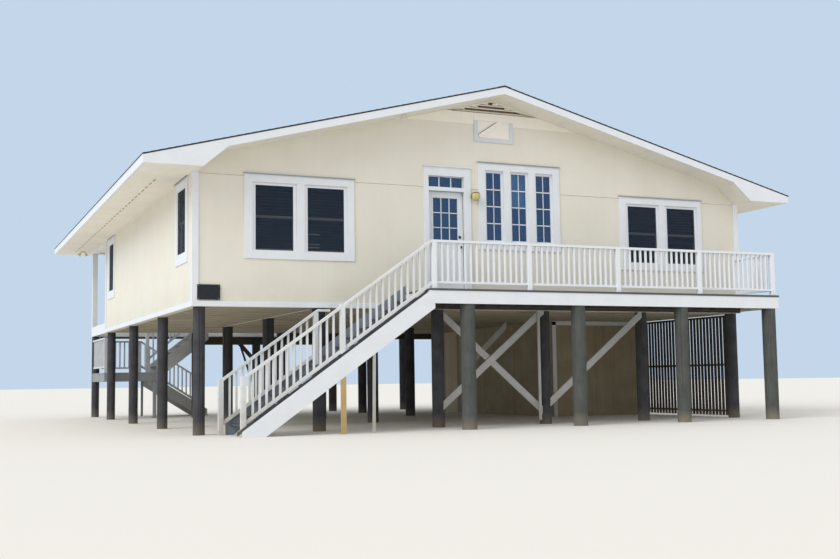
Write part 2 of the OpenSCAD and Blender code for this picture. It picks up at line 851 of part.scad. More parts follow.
// Plank in the piles' plane from the underside of a girder down to a pile's face at x:
// reach and w are level lengths along the girder, k is the slope
module knee(x, y, z, reach, w, k) upright(y, brace_t)
    polygon([[x - reach - w, z], [x - reach, z], [x, z - k * reach], [x, z - k * (reach + w)]]);

module rear_girder() piece(dark) {
    for (i = [2:4]) girder(pile_right(i, 3), pile_left(i + 1, 3), 3, back_girder_h);
    girder(2 * corner_r + 1, stairwell_x - 1, 4, stairwell_girder_h);
    girder(stairwell_x, pile_left(2, 4), 4, porch_girder_h);
    girder(pile_right(2, 4), pile_left(3, 4), 4, porch_girder_h);
    knee(pile_left(2, 4), pile_ys[4] - brace_t / 2, -porch_girder_h, 280, 160, 1.1);
    knee(pile_left(2, 4), pile_ys[4] - brace_t / 2, -porch_girder_h, 342, 60, 3);
}

// Plank braces: a cross in the third bay, one plank in the fourth, and a short knee brace behind
brace_t = 38;
brace_h = 172;
brace_y = pile_ys[0] - pile_d / 2 + 10;
batten_w = 50;
batten_gap = 45;
batten_foot = 90;
knee_x = 8240;

// Plank from the middle of pile i to x1, its top edge at height z on the pile's right face
module brace(i, row, x1, z, k, y)
    sloping_bar(pile_x(i, row), x1, z - k * pile_r(i), k, brace_h, y, brace_t);

// The planks end against the round piles and under the house
module brace_ends(row) {
    for (i = [2:4]) translate([pile_x(i, row), pile_ys[row], -pile_h - 1])
        cylinder(r = pile_r(i) + 1, h = pile_h + brace_h, $fn = 48);
    block([0, 0, -1], [house_w, house_d, brace_h]);
}

module braces() piece(white) {
    difference() {
        union() {
            brace(2, 0, pile_x(3, 0), -54, -0.867, brace_y + brace_t + 2);
            brace(2, 0, pile_x(3, 0), -1735, 0.829, brace_y);
            brace(3, 0, pile_x(4, 0), -1720, 0.8, brace_y);
        }
        brace_ends(0);
    }
    difference() {
        brace(3, 1, knee_x, -800, 0.93, pile_ys[1]);
        brace_ends(1);
    }
    batten_x = pile_left(3, 0) - batten_gap - batten_w;
    block([batten_x, brace_y - 2 - brace_t, -pile_h + batten_foot], [batten_x + batten_w, brace_y - 2, 0]);
}

// Storage room between the pile rows on the right
storage_x = 9500;
storage_y0 = 3600;
storage_y1 = house_d - 160;
storage_t = 100;

module storage_end_walls() piece("tan") {
    block([storage_x, storage_y0, -pile_h], [house_w, storage_y0 + storage_t, 0]);
    block([storage_x, storage_y1 - storage_t, -pile_h], [house_w, storage_y1, 0]);
}

module storage_side_walls() piece("tan") for (x = [storage_x, house_w - storage_t])
    block([x, storage_y0 + storage_t, -pile_h], [x + storage_t, storage_y1 - storage_t, 0]);

slat_pitch = 119;
slat_w = 78;
slat_t = 19;
slat_x = house_w - 60;
slat_foot = 40;
slat_head = 20;
slat_rail_w = 45;
slat_rail_zs = [-2180, -1150, -slat_head - slat_rail_w];
end_board_w = 221;

// A wide board beside the pile, then the slats, on three rails
module slat_screen() piece(dark) {
    y0 = pile_ys[0] + pile_d / 2 + 20;
    y1 = storage_y0 - 2;
    first = y0 + end_board_w + slat_pitch - slat_w;
    block([slat_x, y0, -pile_h + slat_foot], [slat_x + slat_t, y0 + end_board_w, -slat_head]);
    for (i = [0:floor((y1 - first - slat_w) / slat_pitch)]) {
        y = first + i * slat_pitch;
        block([slat_x, y, -pile_h + slat_foot], [slat_x + slat_t, y + slat_w, -slat_head]);
    }
    for (z = slat_rail_zs) block([slat_x - board_t, y0, z], [slat_x + 1, y1, z + slat_rail_w]);
}

// Rear porch

post_xs = [0, 3046, 6026, 9106, house_w - porch_post_w];
post_y = porch_y - porch_post_w;
beam_z = soffit_h - porch_plate_h;
porch_front = house_d + trim_t + 2;
stairwell_x = landing_l + (upper_steps - 1) * rear_run;

module post_notches() for (x = post_xs)
    block([x - 1, post_y, frame_top - 1], [x + porch_post_w + 1, porch_y + 20, deck_top + 1]);

module porch_floor() piece(grey) difference() {
    block([stairwell_x, porch_front, frame_top], [house_w + deck_lip, porch_y + deck_lip, deck_top]);
    post_notches();
}

module porch_frame() piece(white) {
    block([stairwell_x, porch_front, 0], [house_w, porch_y, frame_top]);
    block([0, porch_front, 0], [board_t, porch_y, frame_top]);
    block([0, post_y, 0], [stairwell_x + 1, porch_y, frame_top]);
}

module porch_posts() piece(white) for (x = post_xs)
    block([x, post_y, frame_top], [x + porch_post_w, porch_y, beam_z]);

module porch_beams() piece(white) {
    block([0, post_y, beam_z], [house_w, porch_y, soffit_h]);
    both_sides() upright(house_d + trim_t, post_y - porch_front) polygon([
        [0, beam_z], [porch_post_w, beam_z],
        [porch_post_w, roof_under(porch_post_w)], [0, roof_under(0)]
    ]);
}

module porch_ceiling() piece(white)
    block([porch_post_w, house_d, soffit_h], [house_w - porch_post_w, post_y, soffit_h + soffit_t]);

// Post where the upper flight arrives, beside the stairwell
stairwell_post_x = stairwell_x + 60;
side_rail_inset = 25;

module porch_rails() piece(white) {
    y = post_y + (porch_post_w - post_w) / 2;
    for (i = [1:3])
        rail_run(post_xs[i] + porch_post_w, post_xs[i + 1], rail_top, 0, y, level_drop);
    along_y(house_w - side_rail_inset - post_w)
        rail_run(porch_front, post_y, rail_top, 0, -post_w, level_drop);
    rail_post(stairwell_post_x, flight_rail_y, deck_top, rail_top + newel_over);
    along_y(stairwell_post_x - post_w / 2)
        rail_run(flight_rail_y + post_w, y, rail_top, 0, -post_w, level_drop);
}

// Rear stair: a landing at the left end, one flight up along the back wall, one down

flight_w = 1200;
flight_y0 = house_d + 200;
flight_y1 = flight_y0 + flight_w;
flight_rail_y = flight_y1 + 4;
lower_y0 = flight_y1 + 130;
lower_y1 = porch_y - 40;
landing_top = -landing_drop;
upper_rise = (deck_top + landing_drop) / upper_steps;
lower_rise = (pile_h - landing_drop) / lower_steps;
lower_run = 325;
upper_k = upper_rise / rear_run;
lower_k = lower_rise / lower_run;
lower_foot = landing_l + (lower_steps - 1) * lower_run;
foot_over = 60;
landing_frame_h = 200;
landing_rim = 6;
thin_post_w = 60;
left_post_x = 130;
thin_post_back = 480;

// Post under the landing: its left front edge and width
module landing_post(x, y, w)
    block([x, y, -pile_h], [x + w, y + w, landing_top - board_t]);

// The porch's corner pile holds the fourth corner of the landing
module landing() piece(grey) {
    room = 2 * corner_r + 6;
    front = flight_y0 + 20;
    right = landing_l - landing_rim;
    difference() {
        union() {
            block([0, flight_y0, landing_top - board_t], [landing_l, lower_y1, landing_top]);
            block([landing_rim, flight_y0 + landing_rim, landing_top - board_t - landing_frame_h],
                  [right, lower_y1 - landing_rim, landing_top - board_t]);
            landing_post(left_post_x, front, post_w);
            landing_post(right - post_w, front, post_w);
            landing_post(right - thin_post_w, lower_y1 - thin_post_back, thin_post_w);
        }
        block([-1, porch_y - room, -pile_h - 1], [room, porch_y, 0]);
    }
}

// Where the upper stringers leave the landing, and how far the lower ones reach under the steps
upper_lift = 222;
rear_stringer_h = 430;
lower_heel = 200;

module rear_stringers() piece(white) {
    for (y = [flight_y0, flight_y1 - stringer_t])
        upright(y, stringer_t) polygon([
            [landing_l, landing_top - rear_stringer_h + upper_lift],
            [stairwell_x, frame_top - rear_stringer_h],
            [stairwell_x, frame_top], [landing_l, landing_top + upper_lift]
        ]);
    for (y = [lower_y0, lower_y1 - stringer_t])
        upright(y, stringer_t) polygon([
            [landing_l, landing_top - stringer_toe],
            [lower_foot + foot_over, -pile_h + lower_rise - stringer_toe],
            [lower_foot + foot_over, -pile_h], [lower_foot - lower_heel, -pile_h],
            [landing_l, -pile_h + lower_k * (lower_foot - lower_heel - landing_l)]
        ]);
}

rear_tread_gap = 4;

module rear_treads() piece(grey) {
    for (i = [1:upper_steps - 1]) {
        x = landing_l + (i - 1) * rear_run;
        z = landing_top + i * upper_rise;
        block([x, flight_y0 + stringer_t, z - board_t],
              [x + rear_run - rear_tread_gap, flight_y1 - stringer_t, z]);
    }
    for (i = [1:lower_steps - 1]) {
        x = landing_l + (i - 1) * lower_run;
        z = landing_top - i * lower_rise;
        block([x + rear_tread_gap, lower_y0 + stringer_t, z - board_t],
              [x + lower_run, lower_y1 - stringer_t, z]);
    }
}

rear_rail_h = 940;
rear_rail_gap = 140;
rear_drop = 700;
rear_newel_over = 400;
pile_clear = 60;

module rear_stair_rails() piece(white) {
    top = landing_top + rear_rail_h;
    drop = rear_rail_h - rear_rail_gap - bar_w;
    outer_y = lower_y1 - post_w;
    edge = landing_l - post_w / 2;
    foot = lower_foot + foot_over + 2;
    along_y(0) rail_run(flight_y0 + post_w, corner_y - corner_r - pile_clear, top, 0, -post_w, drop);
    rail_post(post_w / 2, flight_y0, landing_top, top);
    rail_run(2 * corner_r + pile_clear, landing_l - post_w, top, 0, outer_y, drop);
    rail_post(edge, outer_y, landing_top, top);
    rail_post(edge, flight_rail_y, landing_top, top + rear_newel_over);
    rail_run(landing_l, stairwell_post_x - post_w / 2 - 2, top + rear_newel_over / 2, upper_k,
             flight_rail_y, rear_drop);
    rail_run(landing_l, foot, top, -lower_k, outer_y, rear_drop);
    rail_post(foot + post_w / 2, outer_y, -pile_h,
              top - lower_k * (foot + post_w / 2 - landing_l) + newel_over);
}

front_wall_left();
front_wall_right();
front_gable();
left_wall();
right_wall();
back_wall();
rear_gable();
house_floor();
bottom_trim();
corner_boards();
roof_left();
roof_right();
shingles();
rake_boards();
eave_fascias();
eave_soffits();
front_windows();
side_windows();
rear_windows();
window_glass();
front_door_frame();
front_door();
front_door_glass();
front_door_hardware();
rear_door();
gable_vent();
gable_hatch();
wall_lamp();
floodlights();
sign_plate();
deck_floor();
deck_frame();
deck_posts();
deck_rails();
stair_stringers();
stair_treads();
stair_near_rail();
stair_far_rail();
stair_props();
front_piles();
inner_piles();
porch_piles();
rear_girder();
braces();
slat_screen();
storage_end_walls();
storage_side_walls();
porch_floor();
porch_frame();
porch_posts();
porch_beams();
porch_ceiling();
porch_rails();
landing();
rear_stringers();
rear_treads();
rear_stair_rails();
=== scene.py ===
"""Beach house on piles: finishes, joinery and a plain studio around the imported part.

Sizes are metres, measured as the house is: x from the left end of the front wall, y from the
front wall's face and z from the underside of the floor frame. Each shape moves to the part's
own frame when it is finished.
"""

import logging
import math
import random
from dataclasses import dataclass, replace
from enum import Enum
from typing import Iterable, Optional, Sequence, Union

import bmesh
import bpy
from mathutils import Matrix, Vector, noise


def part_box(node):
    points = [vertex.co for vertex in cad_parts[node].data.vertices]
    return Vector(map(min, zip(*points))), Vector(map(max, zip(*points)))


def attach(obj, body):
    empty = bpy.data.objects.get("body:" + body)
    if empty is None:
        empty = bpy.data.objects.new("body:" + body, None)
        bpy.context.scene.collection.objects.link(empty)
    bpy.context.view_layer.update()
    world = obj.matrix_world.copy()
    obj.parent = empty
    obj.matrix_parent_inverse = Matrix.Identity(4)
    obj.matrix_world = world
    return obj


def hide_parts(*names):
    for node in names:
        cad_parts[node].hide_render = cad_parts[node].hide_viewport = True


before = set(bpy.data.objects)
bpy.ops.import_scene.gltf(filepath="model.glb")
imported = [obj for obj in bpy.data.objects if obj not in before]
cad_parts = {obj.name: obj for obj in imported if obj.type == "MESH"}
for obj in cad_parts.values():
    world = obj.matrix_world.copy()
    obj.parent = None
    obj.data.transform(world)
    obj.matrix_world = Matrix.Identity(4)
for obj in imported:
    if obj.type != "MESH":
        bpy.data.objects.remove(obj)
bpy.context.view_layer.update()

LOG = logging.getLogger("beach_house")
MM = 0.001
HOUSE = "house"
DOOR = "front_door"
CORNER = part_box("front_wall_left")[0]
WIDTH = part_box("bottom_trim")[1].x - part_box("bottom_trim")[0].x - 0.040
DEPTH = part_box("back_wall")[1].y - CORNER.y
GROUND = -2.300

Point = Sequence[float]
Socket = bpy.types.NodeSocket


def linear(colour: str) -> tuple[float, float, float, float]:
    """Turns an sRGB hex colour such as "#E5DCC4" into the linear colour that a shader takes."""
    channels = [int(colour[i : i + 2], 16) / 255 for i in (1, 3, 5)]
    red, green, blue = (c / 12.92 if c <= 0.04045 else ((c + 0.055) / 1.055) ** 2.4 for c in channels)
    return (red, green, blue, 1.0)


def add_node(tree: bpy.types.NodeTree, kind: str, settings: dict) -> bpy.types.Node:
    """Adds a shader node with its settings and links.

    Args:
        tree: the tree that takes the node.
        kind: the node's type name, without the word that all shader nodes start with.
        settings: properties by name, and by socket name or number a value or the socket that feeds it.

    Returns:
        The new node.
    """
    node = tree.nodes.new("ShaderNode" + kind)
    for name, value in settings.items():
        if isinstance(value, Socket):
            tree.links.new(value, node.inputs[name])
        elif isinstance(name, str) and hasattr(node, name):
            setattr(node, name, value)
        else:
            node.inputs[name].default_value = value
    return node


class Graph:
    """The nodes of one material, whose patterns all lie on the piece's own coordinates."""

    def __init__(self, name: str) -> None:
        """Starts a material with its shader."""
        self.made = bpy.data.materials.new(name)
        self.made.use_nodes = True
        self.tree = self.made.node_tree
        self.shader = self.tree.nodes["Principled BSDF"]
        self.place = add_node(self.tree, "TexCoord", {}).outputs["Object"]

    def node(self, kind: str, settings: dict, output: int = 0) -> Socket:
        """Adds a node and returns one of its outputs."""
        return add_node(self.tree, kind, settings).outputs[output]

    def math(self, operation: str, a: object, b: object) -> Socket:
        """Returns a sum, product or other operation on two values."""
        return self.node("Math", {"operation": operation, 0: a, 1: b})

    def vector(self, operation: str, a: object, b: object = (0.0, 0.0, 0.0)) -> Socket:
        """Returns an operation on two vectors."""
        return self.node("VectorMath", {"operation": operation, 0: a, 1: b})

    def noise(self, size_mm: float, detail: float, place: Optional[Socket] = None) -> Socket:
        """Returns noise from 0 to 1 whose features are about size_mm across."""
        scale = 1 / (size_mm * MM)
        return self.node(
            "TexNoise", {"Scale": scale, "Detail": detail, "Roughness": 0.6, "Vector": place or self.place}
        )

    def span(self, value: Socket, low: float, high: float, start: float, end: float) -> Socket:
        """Returns a value carried from the span low to high into the span start to end."""
        return self.node(
            "MapRange", {"From Min": low, "From Max": high, "To Min": start, "To Max": end, "Value": value}
        )

    def blend(self, value: Socket, low: float, high: float, share: float, under: Union[str, Socket],
              over: str) -> Socket:
        """Returns one colour turning to another as a value goes from low to high.

        Args:
            value: what steers the blend.
            low: the value where it starts.
            high: the value where it ends.
            share: how much of the second colour shows at most.
            under: the first colour, or its socket.
            over: the second colour.

        Returns:
            The blended colour.
        """
        first = linear(under) if isinstance(under, str) else under
        steer = self.span(value, low, high, 0.0, share)
        return self.node("Mix", {"data_type": "RGBA", 0: steer, 6: first, 7: linear(over)}, 2)

    def close(self, **inputs: object) -> bpy.types.Material:
        """Sets or links the shader's inputs, named with _ for a space, and returns the material."""
        for name, value in inputs.items():
            socket = self.shader.inputs[name.replace("_", " ")]
            if isinstance(value, Socket):
                self.tree.links.new(value, socket)
            else:
                socket.default_value = value
        return self.made


class Lay(Enum):
    """Which way the grain or brush marks of a finish run, as stretch along x, y and z."""

    ALL = (1.0, 1.0, 1.0)
    X = (0.05, 1.0, 1.0)
    Y = (1.0, 0.05, 1.0)
    Z = (1.0, 1.0, 0.04)


@dataclass(frozen=True)
class Finish:
    """A finish with patches of tone, grain or brush marks, grit, cells, seams and soiling."""

    name: str
    base: str
    tone: str
    grain: str
    tone_mm: float = 600
    tone_share: float = 0.5
    grain_mm: float = 10
    grain_share: float = 0.3
    grit_mm: float = 5
    bump_mm: float = 0.4
    rough: float = 0.5
    rough_spread: float = 0.12
    metallic: float = 0.0
    lay: Lay = Lay.ALL
    cell: Optional[tuple[float, float, float]] = None
    cell_share: float = 0.0
    seam_axis: int = 0
    seam_pitch: float = 0.0
    seam_mm: float = 6
    seam_share: float = 0.28
    soil: Optional[str] = None
    soil_from: float = 0.0
    soil_to: float = 0.6
    soil_share: float = 0.5
    inside: Optional[str] = None
    alpha: float = 1.0
    slot: Optional[str] = None

    def material(self) -> bpy.types.Material:
        """Returns the finish's material, which is made once."""
        made = bpy.data.materials.get(self.name)
        if made:
            return made
        graph = Graph(self.name)
        patches = graph.noise(self.tone_mm, 4.0)
        colour = graph.blend(patches, 0.38, 0.66, self.tone_share, self.base, self.tone)
        stretched = graph.node("Mapping", {"Scale": self.lay.value, "Vector": graph.place})
        streaks = graph.noise(self.grain_mm, 5.0, stretched)
        colour = graph.blend(streaks, 0.48, 0.74, self.grain_share, colour, self.grain)
        if self.cell:
            colour = self._cells(graph, colour)
        if self.soil:
            colour = self._soiled(graph, patches, colour)
        height = graph.math("ADD", graph.noise(self.grit_mm, 2.0), streaks)
        if self.seam_pitch:
            seam = self._seams(graph)
            colour = graph.blend(seam, 0.0, 1.0, self.seam_share, colour, self.grain)
            height = graph.math("SUBTRACT", height, seam)
        if self.inside:
            colour = self._lined(graph, colour)
        bump = graph.node("Bump", {"Strength": 0.6, "Distance": self.bump_mm * MM, "Height": height})
        gloss = graph.span(patches, 0.3, 0.7, self.rough - self.rough_spread, self.rough + self.rough_spread)
        return graph.close(
            Base_Color=colour, Normal=bump, Roughness=gloss, Metallic=self.metallic, Alpha=self.alpha
        )

    def _cells(self, graph: Graph, colour: Socket) -> Socket:
        """Returns the colour with each board's or shingle's own tone."""
        scale = tuple(1 / size if size else 0.0 for size in self.cell)
        cell = graph.vector("FLOOR", graph.vector("MULTIPLY", graph.place, scale))
        lot = graph.node("TexWhiteNoise", {"noise_dimensions": "3D", "Vector": cell})
        return graph.blend(lot, 0.0, 1.0, self.cell_share, colour, self.tone)

    def _soiled(self, graph: Graph, patches: Socket, colour: Socket) -> Socket:
        """Returns the colour with dirt that fades upward from a height, its edge broken by noise."""
        up = graph.node("SeparateXYZ", {"Vector": graph.place}, 2)
        fade = graph.span(up, CORNER.z + self.soil_from, CORNER.z + self.soil_to, 1.0, 0.0)
        return graph.blend(graph.math("MULTIPLY", fade, patches), 0.1, 0.6, self.soil_share, colour, self.soil)

    def _seams(self, graph: Graph) -> Socket:
        """Returns 1 on the lines where sheets meet, and 0 elsewhere."""
        along = graph.node("SeparateXYZ", {"Vector": graph.place}, self.seam_axis)
        shifted = graph.math("SUBTRACT", along, CORNER[self.seam_axis])
        folded = graph.math("PINGPONG", shifted, self.seam_pitch / 2)
        return graph.span(folded, 0.0, self.seam_mm * MM, 1.0, 0.0)

    def _lined(self, graph: Graph, colour: Socket) -> Socket:
        """Returns the colour with the inside lining's colour on the faces within the rooms."""
        half_wall, room_z, room_half = 0.07, 2.6, 2.4
        middle = tuple(a + b for a, b in zip(CORNER, (WIDTH / 2, DEPTH / 2, room_z)))
        reach = (WIDTH / 2 - half_wall, DEPTH / 2 - half_wall, room_half)
        away = graph.vector("ABSOLUTE", graph.vector("SUBTRACT", graph.place, middle))
        within = add_node(graph.tree, "SeparateXYZ", {"Vector": graph.vector("SUBTRACT", reach, away)}).outputs
        nearest = graph.math("MINIMUM", graph.math("MINIMUM", within[0], within[1]), within[2])
        return graph.blend(nearest, 0.0, 0.001, 1.0, colour, self.inside)


@dataclass(frozen=True)
class Glass:
    """Float glass with a thin tin oxide coat: dark rooms show through a blue reflection."""

    name: str = "float_glass"
    tint: str = "#A4BED2"
    deep: str = "#94B0C7"
    coat_nm: float = 165
    coat_ior: float = 1.9
    film_mm: float = 400
    dust: float = 0.05

    def material(self) -> bpy.types.Material:
        """Returns the glass's material, which is made once; its coat mirrors blue far more than red."""
        made = bpy.data.materials.get(self.name)
        if made:
            return made
        graph = Graph(self.name)
        film = graph.node("TexNoise", {"Scale": 1 / (self.film_mm * MM), "Detail": 3.0, "Vector": graph.place})
        dust = graph.span(film, 0.4, 0.7, 0.0, self.dust)
        tint = graph.node("Mix", {"data_type": "RGBA", 0: film, 6: linear(self.tint), 7: linear(self.deep)}, 2)
        return graph.close(
            Base_Color=tint, Roughness=dust, Transmission_Weight=1.0, IOR=1.5,
            Thin_Film_Thickness=self.coat_nm, Thin_Film_IOR=self.coat_ior,
        )


# Clear float glass with a blue sheen
WINDOW_GLASS = Glass()
# Satin acrylic paint on smooth plywood sheets: pale cream, flat, with faint roller stipple
SIDING = Finish(
    "acrylic_paint_on_plywood", base="#E1DDD1", tone="#D9D4C6", grain="#CCC6B8", tone_mm=900,
    grain_mm=140, grain_share=0.10, lay=Lay.Z, grit_mm=7, bump_mm=0.5, seam_pitch=1.2192,
    soil="#B9B3A4", soil_to=0.7, soil_share=0.3, inside="#4A3A2C", slot="cream_siding",
)
# The same paint on the side walls, whose sheets meet along the other axis
SIDE_SIDING = replace(SIDING, name="acrylic_paint_on_side_plywood", seam_axis=1)
# The same paint on loose boards outside, without seams: lighter, as painted bounce light under the overhang
BOUNCE_LIT_FRIEZE = replace(
    SIDING, name="acrylic_paint_on_board", base="#F0ECE2", tone="#E8E3D7", seam_pitch=0.0, soil=None,
    inside=None,
)
# Semi-gloss enamel brushed on pine boards: cool white, with brush marks and a little soil
TRIM = Finish(
    "enamel_on_pine", base="#E2E6EB", tone="#D8DCE2", grain="#C6CACF", tone_mm=350, grain_mm=18,
    grain_share=0.14, bump_mm=0.35, rough=0.38, rough_spread=0.08, slot="white_trim",
)
# The same enamel where shoes, sand and rain reach it: yellower, with dull patches
WORN_TRIM = Finish(
    "worn_enamel_on_pine", base="#DADDDF", tone="#C9CDCF", grain="#A9A99F", tone_mm=220, grain_mm=14,
    grain_share=0.24, bump_mm=0.5, rough=0.46, soil="#A49A84", soil_from=GROUND, soil_to=-1.2,
    soil_share=0.7, slot="white_trim",
)
# The same enamel after years of sun: a duller white with little contrast to the walls
FADED_TRIM = replace(TRIM, name="faded_enamel_on_pine", base="#D2D6DA", tone="#C9CDD2", grain="#BCC0C4")
# The white enamel painted mid grey on the far plank of the front stair, as painted shade: flat, so that the plank
# sits back in the shade
SHADED_PLANK_ENAMEL = replace(
    TRIM, name="enamel_on_pine_painted_shade", base="#858C98", tone="#777F8B", grain="#969BA4", rough=0.55,
)
# Bare planks that were never painted: pale dry grey with brown streaks
DRY_PLANK = replace(
    WORN_TRIM, name="dry_pine_plank", base="#B4B4B2", tone="#A2A29F", grain="#85837C", grain_share=0.4,
    rough=0.7,
)
# The same enamel on the shaded rear stair: greyer, partly dulled enamel and partly painted shade, with darker damp
# patches
DULL_SHADED_TRIM = replace(
    WORN_TRIM, name="dull_enamel_on_pine_painted_shade", base="#C4C9CD", tone="#AFB4B8", grain="#96989C", rough=0.6,
)
# Flat exterior paint on soffit boards: warm cream without gloss, lightened as painted bounce light from below
BOUNCE_LIT_CREAM = Finish(
    "flat_paint_on_soffit_board", base="#F0ECE1", tone="#E7E2D6", grain="#D6D0C1", tone_mm=500,
    grain_mm=60, grain_share=0.18, lay=Lay.Y, grit_mm=6, rough=0.75, seam_axis=1, seam_pitch=2.4384,
    inside="#584330", slot="cream_soffit",
)
# Flat beige paint on the sheets that close the floor frame from below, and planks above them
UNDERSIDE = Finish(
    "flat_paint_on_floor_sheet", base="#A79F8A", tone="#958C76", grain="#7C745F", tone_mm=420,
    grain_mm=90, lay=Lay.X, grit_mm=6, bump_mm=0.5, rough=0.8, inside="#54402D",
)
# Asphalt shingle: charcoal stone granules, each tab its own tone
SHINGLE = Finish(
    "asphalt_shingle", base="#424246", tone="#2C2C30", grain="#6C6964", tone_mm=900, grain_mm=5,
    grain_share=0.5, grit_mm=4, bump_mm=1.2, rough=0.92, rough_spread=0.05, cell=(0.1389, 0.305, 0.0),
    cell_share=0.6, slot="roof_shingle",
)
# Cut edges of felt and starter strip: bitumen black, dull
FELT = replace(SHINGLE, name="roofing_felt", base="#2A2A2E", tone="#1F1F23", grain="#3C3B3A", cell=None)
# Creosoted round pile: near black with a blue cast, paler split grain and sand at its foot
PILE = Finish(
    "creosoted_pine_pile", base="#3A3B40", tone="#2B2A2F", grain="#55524F", tone_mm=260, grain_mm=11,
    grain_share=0.5, lay=Lay.Z, bump_mm=1.6, rough=0.85, soil="#7D7361", soil_from=-2.35,
    soil_to=-1.95, soil_share=0.8, slot="dark_pile",
)
# Damp timber that no sun reaches, as joists, girders and lattice: brown black with grey grain
DARK_TIMBER = replace(
    PILE, name="damp_pine_timber", base="#443F38", tone="#34302B", grain="#67604F", lay=Lay.ALL,
)
# Pine behind the near plank: blue black, partly its own colour and partly painted shade of the gap under the near
# rail, so that the stair's edge reads as a dark line
DARK_PINE_AND_SHADE = replace(DARK_TIMBER, name="dark_pine_painted_shade", base="#33363B", tone="#292B2F", grain="#4A4D50")
# Weathered treated pine in the open: grey green, checked along the grain
GREY_POST = replace(
    PILE, name="weathered_pine_post", base="#4A4D4A", tone="#3B3E3C", grain="#66675F", tone_mm=300,
    grain_mm=10, bump_mm=1.5, soil="#8D8471", slot="grey_timber",
)
# Weathered treated pine in frames and platforms: silver grey
SILVER_PINE = replace(
    GREY_POST, name="silvered_pine_frame", base="#92979A", tone="#7E8386", grain="#6A6D6E", lay=Lay.X,
    slot="deck_paint",
)
# Porch enamel on pine boards, walked thin: slate grey, paler along the grain
DECK_BOARD = Finish(
    "porch_enamel_on_pine", base="#50555A", tone="#43484C", grain="#74787A", tone_mm=350, grain_mm=12,
    grain_share=0.4, lay=Lay.X, bump_mm=0.7, rough=0.6, cell=(0.0, 0.1465, 0.0), cell_share=0.35,
    slot="deck_paint",
)
# The same enamel on the treads: a darker slate, paler where shoes rub it
TREAD = replace(
    DECK_BOARD, name="porch_enamel_on_treads", base="#494E54", tone="#3B4046", grain="#6C7074", tone_mm=260,
    lay=Lay.Y, cell=None,
)
# Bare treated pine, a few seasons old: straw with green-brown grain
PALE_PINE = Finish(
    "treated_pine", base="#B9A070", tone="#A58C5E", grain="#8B7349", tone_mm=240, grain_mm=9,
    grain_share=0.5, lay=Lay.Z, grit_mm=4, bump_mm=0.7, rough=0.7, slot="pale_timber",
)
# Flat tan paint on grooved plywood sheets, dusty from the sand
TAN_PANEL = Finish(
    "tan_paint_on_plywood", base="#A3987F", tone="#8D8269", grain="#756B56", tone_mm=500, grain_mm=120,
    lay=Lay.Z, grit_mm=6, bump_mm=0.6, rough=0.8, soil="#8C8069", soil_from=GROUND, soil_to=-1.7,
    soil_share=0.6, slot="tan_panel",
)
# A paler sheet of the same paint, without dust
PALER_PANEL = replace(TAN_PANEL, name="paler_tan_paint_on_plywood", base="#BDB39B", tone="#AEA48B", soil=None)
# Vinyl blind slats behind glass: slate blue, faintly glossy
SLAT = Finish(
    "vinyl_slat", base="#7F95A6", tone="#708697", grain="#8FA3B2", tone_mm=120, grain_mm=30, grit_mm=3,
    bump_mm=0.1,
)
# Stiff pale roller shade: pale grey, matt
SHADE = Finish(
    "coated_shade_board", base="#E3EAEE", tone="#D4DCE1", grain="#C5CDD2", tone_mm=200, grain_mm=8,
    lay=Lay.Z, grit_mm=3, bump_mm=0.2, rough=0.8,
)
# Mill-finish aluminium and galvanised steel: dull silver with spangle
METAL = Finish(
    "galvanised_steel", base="#9EA2A5", tone="#868A8D", grain="#B4B7B9", tone_mm=25, grain_mm=6,
    grit_mm=2, bump_mm=0.1, rough=0.45, metallic=0.8,
)
# Fine dark screen with nothing lit behind it, and the dark strips round the door leaf, partly gaskets and partly
# painted shadow of the gap: black, dusty
SCREEN = Finish(
    "dusty_black_mesh", base="#26262A", tone="#1C1C20", grain="#3A3A3D", tone_mm=90, grain_mm=4,
    grain_share=0.4, grit_mm=3, bump_mm=0.2, rough=0.9,
)
# Louvre screen in the gable: brown with dust between the blades
LOUVRE_SCREEN = replace(SCREEN, name="dusty_brown_mesh", base="#8D8271", tone="#7A7061", grain="#9C917F")
# Woven fibreglass insect screen over the sashes: charcoal with a blue-grey tint that is painted sky sheen, half
# see-through
INSECT_SCREEN = replace(
    SCREEN, name="fibreglass_screen_painted_sky_sheen", base="#1E2A36", tone="#18222D", grain="#2A3744", alpha=0.5,
)
# Worn lacquered brass: dull gold with brown in the hollows
BRASS = Finish(
    "lacquered_brass", base="#A98C55", tone="#8A6F42", grain="#C4A973", tone_mm=30, grain_mm=8,
    grit_mm=2, bump_mm=0.1, rough=0.34, metallic=1.0, slot="brass",
)
# Oil-rubbed bronze on the door's knob, bolt and hinges: dark brown, worn at the edges
BRONZE = replace(BRASS, name="oil_rubbed_bronze", base="#4A4038", tone="#3A322B", grain="#6A5A48", rough=0.42)
# Frosted yellow lamp glass: soft, slightly waxy
LAMP_GLASS = Finish(
    "frosted_yellow_glass", base="#C9BC80", tone="#BAAC70", grain="#D6CB98", tone_mm=60, grit_mm=3,
    bump_mm=0.2, rough=0.35, slot="lamp_body",
)
# Cream enamel on cast aluminium spot housings
CAST_ENAMEL = replace(
    LAMP_GLASS, name="enamel_on_cast_aluminium", base="#D9D2BD", tone="#CBC4AE", grain="#B9B19A", rough=0.4,
    slot="white_trim",
)
# Black enamelled sheet: smooth, with dust
BLACK_PLATE = Finish(
    "black_enamel", base="#0F1013", tone="#17181B", grain="#222428", tone_mm=90, grain_mm=20, grit_mm=3,
    bump_mm=0.1, rough=0.3, slot="sign_black",
)
# Charcoal enamel on folded steel: a dull dark edge under the shingles, partly painted shadow of the drip edge on the
# rake boards
DRIP_METAL_AND_SHADOW = replace(
    BLACK_PLATE, name="charcoal_steel_painted_shadow", base="#38383B", tone="#2F2F32", grain="#4A4A4C", rough=0.5,
    slot=None,
)


def show(name: str, data: bpy.types.ID) -> bpy.types.Object:
    """Puts a new object with its data into the scene."""
    made = bpy.data.objects.new(name, data)
    bpy.context.scene.collection.objects.link(made)
    return made


